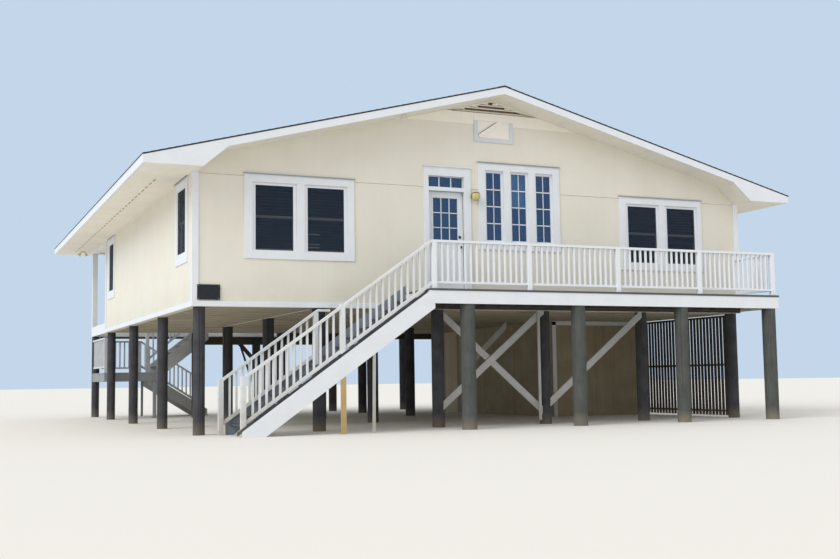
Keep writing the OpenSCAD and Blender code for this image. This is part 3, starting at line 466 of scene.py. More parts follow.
def settle(name: str, mesh: bpy.types.Mesh, finish: Finish, body: str, stands_for: Iterable[str]) -> bpy.types.Object:
    """Makes a mesh a finished piece of the part.

    Args:
        name: the piece's name.
        mesh: its mesh, in the part's own frame.
        finish: what it is finished with.
        body: the body that it rides on.
        stands_for: the CAD nodes that it stands for.

    Returns:
        The new object.
    """
    piece = show(name, mesh)
    mesh.materials.append(finish.material())
    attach(piece, body)
    if stands_for:
        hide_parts(*stands_for)
    LOG.info("%s: %d faces, %s", name, len(mesh.polygons), finish.name)
    return piece


def dress(finish: Union[Finish, Glass], *nodes: str) -> None:
    """Gives CAD nodes that show as they are their finish."""
    for node in nodes:
        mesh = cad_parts[node].data
        mesh.materials.clear()
        mesh.materials.append(finish.material())
        LOG.info("%s: CAD node, %s", node, finish.name)


def ease(finish: Finish, ease_mm: float, *nodes: str, body: str = HOUSE) -> None:
    """Makes copies of CAD nodes with sanded edges, which stand for them.

    Args:
        finish: their finish.
        ease_mm: how far their edges are rounded.
        nodes: the nodes' names.
        body: the body that they ride on.
    """
    for node in nodes:
        work = bmesh.new()
        work.from_mesh(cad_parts[node].data)
        bmesh.ops.remove_doubles(work, verts=work.verts, dist=0.02 * MM)
        bmesh.ops.dissolve_limit(work, angle_limit=math.radians(1), verts=work.verts, edges=work.edges)
        paired = (e for e in work.edges if len(e.link_faces) == 2)
        sharp = [e for e in paired if e.calc_face_angle_signed(0.0) > math.radians(40)]
        bmesh.ops.bevel(
            work, geom=sharp, offset=ease_mm * MM, offset_type="OFFSET", segments=2, profile=0.5,
            affect="EDGES", clamp_overlap=True, material=-1,
        )
        mesh = bpy.data.meshes.new(node + "_eased")
        work.to_mesh(mesh)
        work.free()
        settle(mesh.name, mesh, finish, body, [node])


class Shape:
    """A mesh made of simple solids, in the house's own coordinates."""

    CHUNK = 120

    def __init__(self) -> None:
        """Starts an empty shape."""
        self.whole = bmesh.new()
        self.part = bmesh.new()
        self.count = 0
        self.place = Matrix.Identity(4)

    def _added(self) -> None:
        """Counts a new solid; full chunks go into the whole mesh, which keeps the operators fast."""
        self.count += 1
        if self.count % self.CHUNK == 0:
            self.take(self.part, keep=True)

    def take(self, made: bmesh.types.BMesh, keep: bool = False) -> None:
        """Moves a mesh's solids into the whole mesh, and frees it unless it is kept for more."""
        step = bpy.data.meshes.new("step")
        made.to_mesh(step)
        self.whole.from_mesh(step)
        bpy.data.meshes.remove(step)
        if keep:
            made.clear()
        else:
            made.free()

    def _cube(self, middle: Vector, turn: Matrix, size: Point) -> None:
        """Adds a cuboid about a middle, turned and with its three sizes."""
        matrix = self.place @ Matrix.Translation(middle) @ turn @ Matrix.Diagonal((*size, 1.0))
        bmesh.ops.create_cube(self.part, size=1.0, matrix=matrix)
        self._added()

    def box(self, lo: Point, hi: Point, turn: Optional[Matrix] = None) -> None:
        """Adds a box from its low to its high corner, turned about its middle."""
        low, high = Vector(lo), Vector(hi)
        self._cube((low + high) / 2, turn or Matrix.Identity(4), high - low)

    def rod(self, start: Point, end: Point, radius: float, tip: Optional[float] = None, sides: int = 12) -> None:
        """Adds a round rod or a cone.

        Args:
            start: the middle of its first end.
            end: the middle of its other end.
            radius: its radius at the start.
            tip: its radius at the end, or the same.
            sides: how many sides it has.
        """
        a, b = Vector(start), Vector(end)
        aim = (b - a).to_track_quat("Z", "Y").to_matrix().to_4x4()
        bmesh.ops.create_cone(
            self.part, cap_ends=True, segments=sides, radius1=radius, radius2=radius if tip is None else tip,
            depth=(b - a).length, matrix=self.place @ Matrix.Translation((a + b) / 2) @ aim,
        )
        self._added()

    def bar(self, start: Point, end: Point, width: float, depth: float) -> None:
        """Adds a flat bar between two points, width across it and depth along y."""
        a, b = Vector(start), Vector(end)
        along, inward = (b - a).normalized(), Vector((0, 1, 0))
        aim = Matrix((along, inward, along.cross(inward).normalized())).transposed().to_4x4()
        self._cube((a + b) / 2, aim, ((b - a).length, depth, width))

    def ring(self, left: float, right: float, low: float, high: float, y0: float, y1: float,
             side: float, foot: Optional[float] = None, head: Optional[float] = None, lap: bool = False) -> None:
        """Adds four strips along the inner edge of an upright rectangle.

        Args:
            left: the rectangle's left edge.
            right: its right edge.
            low: its lower edge.
            high: its upper edge.
            y0: the strips' near face.
            y1: their far face.
            side: width of the upright strips.
            foot: height of the lower strip, or the same.
            head: height of the upper strip, or the same.
            lap: whether the level strips run over the upright ones.
        """
        foot, head = foot or side, head or side
        inset = 0.0 if lap else side
        for x in (left, right - side):
            self.box((x, y0, low), (x + side, y1, high))
        for z0, z1 in ((low, low + foot), (high - head, high)):
            self.box((left + inset, y0, z0), (right - inset, y1, z1))

    def grid(self, left: float, right: float, low: float, high: float, y0: float, y1: float,
             columns: int, rows: int, column_w: float, row_w: float) -> None:
        """Adds the bars that divide an upright rectangle into panes.

        Args:
            left: the rectangle's left edge.
            right: its right edge.
            low: its lower edge.
            high: its upper edge.
            y0: the bars' near face.
            y1: their far face.
            columns: how many panes stand side by side.
            rows: how many panes stand one over another.
            column_w: width of the upright bars.
            row_w: height of the level bars.
        """
        for i in range(1, columns):
            x = left + (right - left) * i / columns
            self.box((x - column_w / 2, y0, low), (x + column_w / 2, y1, high))
        for i in range(1, rows):
            z = low + (high - low) * i / rows
            self.box((left, y0, z - row_w / 2), (right, y1, z + row_w / 2))

    def slab(self, outline: Sequence[tuple[float, float]], y: float, thick: float) -> None:
        """Adds an upright outline of x and z at y that is extruded along y into a closed solid."""
        face = self.part.faces.new([self.part.verts.new(self.place @ Vector((x, y, z))) for x, z in outline])
        grown = bmesh.ops.extrude_face_region(self.part, geom=[face], use_keep_orig=True)
        moved = [v for v in grown["geom"] if isinstance(v, bmesh.types.BMVert)]
        bmesh.ops.translate(self.part, verts=moved, vec=self.place.to_3x3() @ Vector((0, thick, 0)))
        bmesh.ops.recalc_face_normals(self.part, faces=self.part.faces)
        self._added()

    def turned(self, profile: Sequence[tuple[float, float]], foot: Point, sides: int = 32) -> None:
        """Adds a turned piece that stands along z.

        Args:
            profile: radius and height of each ring, from the foot up, its ends on the axis.
            foot: where the profile's zero height stands.
            sides: how many steps the turn has.
        """
        lathe = bmesh.new()
        rings = [lathe.verts.new((r, 0, z)) for r, z in profile]
        edges = [lathe.edges.new(pair) for pair in zip(rings, rings[1:])]
        bmesh.ops.spin(
            lathe, geom=rings + edges, cent=(0, 0, 0), axis=(0, 0, 1), angle=2 * math.pi, steps=sides,
            use_merge=True, dvec=(0, 0, 0),
        )
        bmesh.ops.remove_doubles(lathe, verts=lathe.verts, dist=0.05 * MM)
        bmesh.ops.recalc_face_normals(lathe, faces=lathe.faces)
        bmesh.ops.transform(lathe, matrix=self.place @ Matrix.Translation(Vector(foot)), verts=lathe.verts)
        self.take(lathe)

    def finish(self, name: str, finish: Finish, ease_mm: float = 0.0, stands_for: Iterable[str] = (),
               body: str = HOUSE, smooth: bool = False) -> None:
        """Makes the shape an object of the part.

        Args:
            name: the piece's name.
            finish: what it is finished with.
            ease_mm: how far its edges are rounded, as sanding and paint do.
            stands_for: the CAD nodes that it stands for.
            body: the body that it rides on.
            smooth: whether its round faces are shaded smooth.
        """
        self.take(self.part)
        bmesh.ops.translate(self.whole, verts=self.whole.verts, vec=CORNER)
        for face in self.whole.faces:
            face.smooth = smooth
        mesh = bpy.data.meshes.new(name)
        self.whole.to_mesh(mesh)
        self.whole.free()
        if smooth:
            mesh.set_sharp_from_angle(angle=math.radians(35))
        piece = settle(name, mesh, finish, body, stands_for)
        if ease_mm:
            rounding = piece.modifiers.new("ease", "BEVEL")
            rounding.width = ease_mm * MM
            rounding.segments = 2
            rounding.limit_method = "ANGLE"
            rounding.angle_limit = math.radians(50)
            rounding.harden_normals = False


class Wall(Enum):
    """The walls that hold windows."""

    FRONT = 0
    BACK = 1
    LEFT = 2
    RIGHT = 3


class Cover(Enum):
    """What hangs behind a window's glass."""

    NONE = 0
    BLIND = 1
    SHADE = 2


@dataclass(frozen=True)
class Opening:
    """A window over its casing: wall, start, sill, size, lights, bars, covers and narrower right side."""

    name: str
    wall: Wall
    start: float
    sill: float
    width: float
    height: float
    covers: tuple[Cover, ...]
    hung: bool = True
    columns: int = 1
    rows: int = 1
    trim: float = 0.0

    def matrix(self) -> Matrix:
        """Returns the placing of the window's own frame: x along the wall, y into it, z up."""
        end = self.start + self.width
        x, y, turn = {
            Wall.FRONT: (self.start, 0, 0.0),
            Wall.BACK: (end, DEPTH, math.pi),
            Wall.LEFT: (0, end, -math.pi / 2),
            Wall.RIGHT: (WIDTH, self.start, math.pi / 2),
        }[self.wall]
        return Matrix.Translation((x, y, self.sill)) @ Matrix.Rotation(turn, 4, "Z")


@dataclass
class Windows:
    """What the windows hold beside their frames: bars, beads, screens, blinds, a shade and drip caps."""

    rim: float = 0.156
    hung_stile: float = 0.056
    fixed_stile: float = 0.040
    rail: float = 0.040
    pane_front: float = 0.0385
    pane_back: float = 0.0445
    lower_step: float = 0.035
    column_w: float = 0.014
    row_w: float = 0.020
    bar_d: float = 0.011
    bead: float = 0.005
    slat_pitch: float = 0.059
    slat_w: float = 0.060
    slat_t: float = 0.003
    slat_tilt: float = 42.0
    blind_y: float = 0.112
    blind_over: float = 0.030
    cap_over: float = 0.020
    cap_out: float = 0.044
    pale_strip_y: float = 0.0205
    pale_strip_zs: tuple[float, ...] = (0.491, 0.298, 0.241)
    pale_strip_size: tuple[float, float, float] = (0.250, 0.003, 0.013)
    slat_play: tuple[float, float] = (3.0, 0.12)
    slat_ends: tuple[float, float] = (0.030, 0.045)
    head_rail: tuple[float, float] = (0.014, 0.035)
    foot_rail: tuple[float, float] = (0.010, 0.014)
    cover_lap: float = 0.020
    shade_t: float = 0.002
    shade_board: tuple[float, float, float] = (0.004, 0.008, 0.022)
    cap_t: float = 0.004
    cap_h: float = 0.012
    cap_lip: float = 0.003
    flush_screen: tuple[float, ...] = (-0.012, 0.050, 0.047, 0.030)
    deep_screen: tuple[float, ...] = (0.008, 0.062, 0.010, 0.049)
    screen_t: float = 0.012
    screen_play: float = 0.001
    mesh_y: float = 0.005
    mesh_t: float = 0.0006
    lock_half: tuple[float, float] = (0.030, 0.006)
    lever: tuple[float, float, float] = (0.012, 0.009, 0.016)

    def openings(self) -> list[Opening]:
        """Returns every window of the house."""
        blind = Cover.BLIND
        twin = dict(width=2.166, height=1.580, covers=(blind, blind))
        made = [
            Opening("left_twin", Wall.FRONT, 0.938, 0.889, **twin, trim=0.018),
            Opening("right_twin", Wall.FRONT, 9.095, 0.889, **twin, trim=0.046),
            Opening(
                "triple", Wall.FRONT, 5.742, 1.210, 1.880, 1.773, (Cover.NONE, Cover.SHADE, Cover.NONE),
                hung=False, columns=2, rows=4,
            ),
            Opening("rear_left", Wall.BACK, 0.938, 0.849, **twin),
            Opening("rear_right", Wall.BACK, 9.095, 0.849, **twin),
        ]
        for wall in (Wall.LEFT, Wall.RIGHT):
            for place, start in (("front", 0.418), ("rear", 9.215)):
                made.append(Opening(f"{wall.name.lower()}_{place}", wall, start, 0.842, 1.090, 1.586, (blind,)))
        return made

    def panes(self, opening: Opening, light: int) -> list[tuple[float, float, float, float, float]]:
        """Returns the glass of one light.

        Args:
            opening: the window.
            light: the light's number from the window's own left.

        Returns:
            Low and high edge along the wall, low and high edge up, and step into the wall.
        """
        lights = len(opening.covers)
        wide = (opening.width - (lights + 1) * self.rim) / lights
        x0 = self.rim + light * (wide + self.rim)
        stile = self.hung_stile if opening.hung else self.fixed_stile
        left, right = x0 + stile, x0 + wide - stile
        low, high = self.rim + self.rail, opening.height - self.rim - self.rail
        if not opening.hung:
            return [(left, right, low, high, 0.0)]
        middle, half = opening.height / 2, self.rail / 2
        return [(left, right, middle + half, high, 0.0), (left, right, low, middle - half, self.lower_step)]

    def build(self) -> None:
        """Builds what all windows hold."""
        shapes = [Shape() for _ in range(7)]
        bars, slats, shade, caps, locks, frames, meshes = shapes
        chance = random.Random(5)
        for opening in self.openings():
            for shape in shapes:
                shape.place = opening.matrix()
            for light, cover in enumerate(opening.covers):
                panes = self.panes(opening, light)
                for pane in panes:
                    self._bars(bars, opening, pane)
                left, right = panes[0][:2]
                low, high, lap = panes[-1][2], panes[0][3], self.cover_lap
                if cover is Cover.BLIND:
                    self._blind(slats, left, right, low - lap, high + lap, chance)
                if cover is Cover.SHADE:
                    self._shade(shade, left - lap, right + lap, low, high)
                if opening.hung:
                    self._lock(locks, (left + right) / 2, (panes[0][2] + panes[1][3]) / 2)
                    self._screen(frames, meshes, opening, left, right)
            # Three pale strips between the screen and the lower glass of the left twin.
            if opening.name == "left_twin":
                wide, thick, half = self.pale_strip_size
                for z in self.pale_strip_zs:
                    shade.box((left, self.pale_strip_y, z - half), (left + wide, self.pale_strip_y + thick, z + half))
            self._cap(caps, opening)
        for shape, name, finish, ease_mm in (
            (bars, "window_bars", TRIM, 1.2), (slats, "blind_slats", SLAT, 0.0), (shade, "pale_shade", SHADE, 0.6),
            (caps, "drip_caps", METAL, 0.0), (locks, "sash_locks", BRASS, 0.8),
            (frames, "screen_frames", TRIM, 1.0), (meshes, "insect_screens", INSECT_SCREEN, 0.0),
        ):
            shape.finish(name, finish, ease_mm)

    def _shade(self, shape: Shape, left: float, right: float, low: float, high: float) -> None:
        """Adds a shade drawn half way down, with the board at its foot."""
        middle, y = (low + high) / 2, self.blind_y
        out, back, tall = self.shade_board
        shape.box((left, y, middle + self.cover_lap), (right, y + self.shade_t, high))
        shape.box((left, y - out, middle), (right, y + back, middle + tall))

    def _cap(self, shape: Shape, opening: Opening) -> None:
        """Adds the bent metal cap over a window's casing."""
        start, end, top = -self.cap_over, opening.width - opening.trim + self.cap_over, opening.height
        shape.box((start, -self.cap_out, top), (end, 0.0, top + self.cap_t))
        shape.box((start, -self.cap_out, top - self.cap_h), (end, self.cap_lip - self.cap_out, top))

    def _screen(self, frames: Shape, meshes: Shape, opening: Opening, left: float, right: float) -> None:
        """Adds the insect screen over one light: on the street fronts set back, at the sides flush.

        Args:
            frames: the shape that takes the white frame.
            meshes: the shape that takes the mesh.
            opening: the window.
            left: the glass's left edge.
            right: the glass's right edge.
        """
        flush = opening.wall in (Wall.LEFT, Wall.RIGHT)
        y, side, foot, head = self.flush_screen if flush else self.deep_screen
        over, play = self.hung_stile - self.screen_play, self.rim + self.screen_play
        x0, x1, z0, z1 = left - over, right + over, play, opening.height - play
        frames.ring(x0, x1, z0, z1, y, y + self.screen_t, side, foot, head)
        y += self.mesh_y
        meshes.box((x0 + side, y, z0 + foot), (x1 - side, y + self.mesh_t, z1 - head))

    def _bars(self, shape: Shape, opening: Opening, pane: tuple[float, float, float, float, float]) -> None:
        """Adds the bars and the beads on both faces of one pane."""
        *edges, step = pane
        for face in (self.pane_front - self.bar_d, self.pane_back):
            span = (face + step, face + step + self.bar_d)
            shape.grid(*edges, *span, opening.columns, opening.rows, self.column_w, self.row_w)
            shape.ring(*edges, *span, self.bead, lap=True)

    def _blind(self, shape: Shape, left: float, right: float, low: float, high: float,
               chance: random.Random) -> None:
        """Adds a blind with its head rail, slats and bottom rail.

        Args:
            shape: the shape that takes it.
            left: the glass's left edge.
            right: its right edge.
            low: the blind's foot.
            high: its head.
            chance: the source of the slats' small unevenness.
        """
        left, right, y = left - self.blind_over, right + self.blind_over, self.blind_y
        for (depth, tall), z in ((self.head_rail, high - self.head_rail[1]), (self.foot_rail, low)):
            shape.box((left, y - depth, z), (right, y + depth, z + tall))
        half = Vector((right - left, self.slat_w, self.slat_t)) / 2
        tilt_play, roll_play = self.slat_play
        foot, head = self.slat_ends
        z = low + foot
        while z < high - head:
            tilt = self.slat_tilt + chance.uniform(-tilt_play, tilt_play)
            roll = chance.uniform(-roll_play, roll_play)
            turn = Matrix.Rotation(math.radians(roll), 4, "Y") @ Matrix.Rotation(math.radians(tilt), 4, "X")
            middle = Vector(((left + right) / 2, y, z))
            shape.box(middle - half, middle + half, turn)
            z += self.slat_pitch

    def _lock(self, shape: Shape, x: float, z: float) -> None:
        """Adds a sash lock on the inside of the meeting rails, its middle at x and z."""
        half_w, half_h = self.lock_half
        radius, tip, tall = self.lever
        y = self.pane_back + self.lower_step + 2 * half_h
        shape.box((x - half_w, y - half_h, z - half_h), (x + half_w, y + half_h, z + half_h))
        shape.rod((x, y, z + half_h), (x, y, z + half_h + tall), radius, tip, 16)


@dataclass
class FrontDoor:
    """The front door's bars, mouldings, panels and rail, and the threshold under it."""

    leaf_x: float = 4.656
    leaf_w: float = 0.762
    leaf_z: float = 0.313
    face_y: float = 0.084
    back_y: float = 0.128
    lite: tuple[float, float, float, float] = (4.780, 5.317, 1.335, 2.225)
    glass_ys: tuple[float, float] = (0.103, 0.109)
    bar_w: float = 0.016
    moulding_w: float = 0.030
    moulding_t: float = 0.006
    panel_zs: tuple[float, float] = (0.540, 1.250)
    panel_side: float = 0.120
    panel_gap: float = 0.080
    panel_w: float = 0.014
    panel_inset: float = 0.036
    transom: tuple[float, float, float, float] = (4.646, 5.421, 2.427, 2.650)
    transom_y: float = 0.060
    transom_bar: tuple[float, float] = (0.020, 0.014)
    transom_bead: float = 0.012
    strip_w: float = 0.009
    strip_head: float = 0.006
    strip_zs: tuple[float, float] = (0.310, 2.351)
    strip_over: float = 0.006
    strip_t: float = 0.004
    stop_y: float = 0.053
    play: float = 0.004
    sweep_t: float = 0.009
    sweep_h: float = 0.030
    field_drop: float = 0.001
    transom_glass: float = 0.006
    sill_ys: tuple[float, float] = (-0.030, 0.125)
    sill_zs: tuple[float, float] = (0.3050, 0.3075)

    def build(self) -> None:
        """Builds the leaf's joinery and what is fixed round it."""
        end, play = self.leaf_x + self.leaf_w, self.play
        self._leaf(end)
        sweep, foot = Shape(), self.leaf_z + play
        near = self.face_y - self.sweep_t
        sweep.box((self.leaf_x + play, near, foot), (end - play, self.face_y, foot + self.sweep_h))
        sweep.finish("door_sweep", METAL, 1.5, body=DOOR)
        fixed = Shape()
        wide, deep = self.transom_bar
        for y in (self.transom_y - deep, self.transom_y + self.transom_glass):
            fixed.grid(*self.transom, y, y + deep, 3, 1, wide, 0.0)
        fixed.ring(*self.transom, self.transom_y - deep, self.transom_y, self.transom_bead, lap=True)
        fixed.finish("transom_bars", TRIM, 1.2)
        self._gaskets_and_shadow(self.leaf_x - self.strip_over, end + self.strip_over)
        sill = Shape()
        (y0, y1), (z0, z1) = self.sill_ys, self.sill_zs
        sill.box((self.leaf_x - play, y0, z0), (end + play, y1, z1))
        sill.finish("door_threshold", METAL, 0.8)
        ease(TRIM, 1.6, "front_door", body=DOOR)
        ease(TRIM, 1.6, "front_door_frame")
        dress(WINDOW_GLASS, "front_door_glass")
        dress(BRONZE, "front_door_hardware")

    def _leaf(self, end: float) -> None:
        """Builds the bars, mouldings and panels on both faces of the leaf, which ends at end."""
        leaf = Shape()
        near, far = self.glass_ys
        for span in ((self.face_y + self.play, near), (far, self.back_y - self.play)):
            leaf.grid(*self.lite, *span, 3, 3, self.bar_w, self.bar_w)
        w, t = self.moulding_w, self.moulding_t
        x0, x1, z0, z1 = self.lite
        middle, half_gap = (self.leaf_x + end) / 2, self.panel_gap / 2
        fields = ((self.leaf_x + self.panel_side, middle - half_gap), (middle + half_gap, end - self.panel_side))
        for y in (self.face_y - t, self.back_y):
            leaf.ring(x0 - w, x1 + w, z0 - w, z1 + w, y, y + t, w)
            for left, right in fields:
                low, high = self.panel_zs
                leaf.ring(left, right, low, high, y, y + t, self.panel_w)
                inset, drop = self.panel_inset, self.field_drop
                leaf.box((left + inset, y + drop, low + inset), (right - inset, y + t - drop, high - inset))
        leaf.finish("door_mouldings", TRIM, 1.6, body=DOOR)

    def _gaskets_and_shadow(self, x0: float, x1: float) -> None:
        """Builds the dark strips on the stops round the leaf, from x0 to x1: partly weather strips, partly painted
        shadow of the gap round the leaf.
        """
        strips = Shape()
        foot, top = self.strip_zs
        y0, y1 = self.stop_y - self.strip_t, self.stop_y
        for x in (x0, x1 - self.strip_w):
            strips.box((x, y0, foot), (x + self.strip_w, y1, top))
        strips.box((x0 + self.strip_w, y0, top - self.strip_head), (x1 - self.strip_w, y1, top))
        strips.finish("door_gaskets_and_shadow", SCREEN, 0.5)


@dataclass
class Roof:
    """Shingle courses over both slopes, ridge caps, drip edges and soffit vents."""

    ridge_z: float = 4.449
    slope: float = 0.2593
    eave_x: float = -1.002
    first_x: float = -0.994
    front_y: float = -0.585
    rear_y: float = 14.208
    layer_t: float = 0.020
    bed_drop: float = 0.011
    courses: int = 51
    tab_count: int = 48
    tab_gap: float = 0.007
    tab_t: float = 0.005
    tab_drop: float = 0.0088
    tab_lap: float = 1.04
    tab_body: float = 0.7
    tab_play: float = 0.002
    cap_pitch: float = 0.145
    cap_w: float = 0.150
    cap_drop: float = 0.0032
    cap_t: float = 0.003
    cap_lap: float = 1.02
    cap_tilt: float = 0.5
    rake_x: float = -0.992
    rake_ys: tuple[float, float] = (-0.575, 14.198)
    drip_h: float = 0.016
    drip_t: float = 0.002
    soffit_drop: float = 0.177
    vent_x: float = -0.520
    vent_w: float = 0.052
    vent_edge: float = 0.012
    vent_start: float = 0.810
    vent_pitch: float = 0.4064
    vent_slot: float = 0.240
    vent_slots: int = 31
    vent_t: float = 0.004
    screen_zs: tuple[float, float] = (0.0012, 0.0002)

    def top(self, x: float) -> float:
        """Returns the height of the roof's top face at x."""
        return self.ridge_z - self.slope * abs(x - WIDTH / 2)

    def band(self, x: float, deep: float, shallow: float) -> list[tuple[float, float]]:
        """Returns the outline of a band from eave to eave between two depths under the top face."""
        xs = (x, WIDTH / 2, WIDTH - x)
        return [(a, self.top(a) - deep) for a in xs] + [(a, self.top(a) - shallow) for a in reversed(xs)]

    def build(self) -> None:
        """Builds the roof's covering and edges."""
        edge, shape, drips = Shape(), Shape(), Shape()
        edge.slab(self.band(self.eave_x, self.layer_t, self.bed_drop), self.front_y, self.rear_y - self.front_y)
        edge.finish("felt_edge", FELT)
        self._field(shape)
        self._ridge(shape)
        shape.finish("shingle_courses", SHINGLE, stands_for=["shingles"])
        # The dark drip edges stand partly for their painted shadow on the rake boards.
        for y, out in zip(self.rake_ys, (-self.drip_t, self.drip_t)):
            drips.slab(self.band(self.rake_x, self.layer_t + self.drip_h, self.layer_t), y, out)
        drips.finish("drip_edges_and_shadow", DRIP_METAL_AND_SHADOW)
        self._vents()
        dress(BOUNCE_LIT_CREAM, "roof_left", "roof_right", "eave_soffits")
        ease(TRIM, 2.0, "rake_boards", "eave_fascias")

    def _field(self, shape: Shape) -> None:
        """Adds the courses of tabs on both slopes."""
        chance = random.Random(11)
        run = WIDTH / 2 - self.first_x
        pitch = (self.rear_y - self.front_y) / self.tab_count
        tilt = math.atan(self.slope)
        reach = run / math.cos(tilt) / self.courses
        variants = [self._course(pitch, reach, shifted, chance) for shifted in (False, True, False, True)]
        for side in (0, 1):
            for course in range(self.courses):
                x = self.first_x + run / self.courses * (course + 0.5)
                z = self.top(x) - self.tab_drop
                turn = Matrix.Rotation(-tilt, 4, "Y")
                if side:
                    x = WIDTH - x
                    turn = Matrix.Rotation(math.pi, 4, "Z") @ turn
                y = self.rear_y if side else self.front_y
                mesh = variants[course % 2 + 2 * chance.randint(0, 1)].copy()
                mesh.transform(Matrix.Translation((x, y, z)) @ turn)
                shape.whole.from_mesh(mesh)
                bpy.data.meshes.remove(mesh)
        for mesh in variants:
            bpy.data.meshes.remove(mesh)

    def _course(self, pitch: float, reach: float, shifted: bool, chance: random.Random) -> bpy.types.Mesh:
        """Makes one course along y, its tabs lifted at the butt.

        Args:
            pitch: length of a tab along the eave.
            reach: exposed length of a tab up the slope.
            shifted: whether the course starts with half a tab.
            chance: the source of small unevenness.

        Returns:
            The course's mesh, centred on x = 0.
        """
        course = bmesh.new()
        edges = [0.0] + [pitch * (i + (0.5 if shifted else 1.0)) for i in range(self.tab_count)]
        if shifted:
            edges.append(pitch * self.tab_count)
        for start, end in zip(edges, edges[1:]):
            end = min(end, pitch * self.tab_count)
            if end - start < 2 * self.tab_gap:
                continue
            lift = math.atan(self.tab_t / reach) + chance.uniform(-self.tab_play, self.tab_play)
            slip = chance.uniform(-self.tab_play, self.tab_play)
            place = Matrix.Translation((slip, (start + end) / 2, 0)) @ Matrix.Rotation(lift, 4, "Y")
            size = (reach * self.tab_lap, end - start - self.tab_gap, self.tab_t * self.tab_body, 1.0)
            bmesh.ops.create_cube(course, size=1.0, matrix=place @ Matrix.Diagonal(size))
        mesh = bpy.data.meshes.new("course")
        course.to_mesh(mesh)
        course.free()
        return mesh

    def _ridge(self, shape: Shape) -> None:
        """Adds the bent caps along the ridge."""
        tilt = math.atan(self.slope)
        count = int((self.rear_y - self.front_y) / self.cap_pitch)
        pitch = (self.rear_y - self.front_y) / count
        for i in range(count):
            y = self.front_y + pitch * (i + 0.5)
            for side in (-1, 1):
                middle = Vector((WIDTH / 2 + side * self.cap_w / 2 * math.cos(tilt), y, 0))
                middle.z = self.top(middle.x) - self.cap_drop
                half = Vector((self.cap_w, pitch * self.cap_lap, self.cap_t)) / 2
                half.y = min(half.y, middle.y - self.front_y, self.rear_y - middle.y)
                lift = Matrix.Rotation(math.radians(self.cap_tilt), 4, "X")
                turn = Matrix.Rotation(side * tilt, 4, "Y") @ lift
                shape.box(middle - half, middle + half, turn)

    def _vents(self) -> None:
        """Builds the slotted vent strips under both eaves."""
        grille, dark = Shape(), Shape()
        z = self.top(self.rake_x) - self.soffit_drop
        land = self.vent_pitch - self.vent_slot
        y0 = self.vent_start
        y1 = y0 + self.vent_pitch * self.vent_slots + land
        x0, x1 = self.vent_x + self.vent_edge, self.vent_x + self.vent_w - self.vent_edge
        turned = Matrix.Translation((WIDTH, y0 + y1, 0)) @ Matrix.Rotation(math.pi, 4, "Z")
        for place in (Matrix.Identity(4), turned):
            grille.place = dark.place = place
            for edge in (self.vent_x, x1):
                grille.box((edge, y0, z - self.vent_t), (edge + self.vent_edge, y1, z))
            for i in range(self.vent_slots + 1):
                y = y0 + self.vent_pitch * i
                grille.box((x0, y, z - self.vent_t), (x1, y + land, z))
            deep, shallow = self.screen_zs
            dark.box((x0, y0, z - deep), (x1, y1, z - shallow))
        grille.finish("soffit_vent_strips", BOUNCE_LIT_CREAM)
        dark.finish("soffit_vent_screens", LOUVRE_SCREEN)


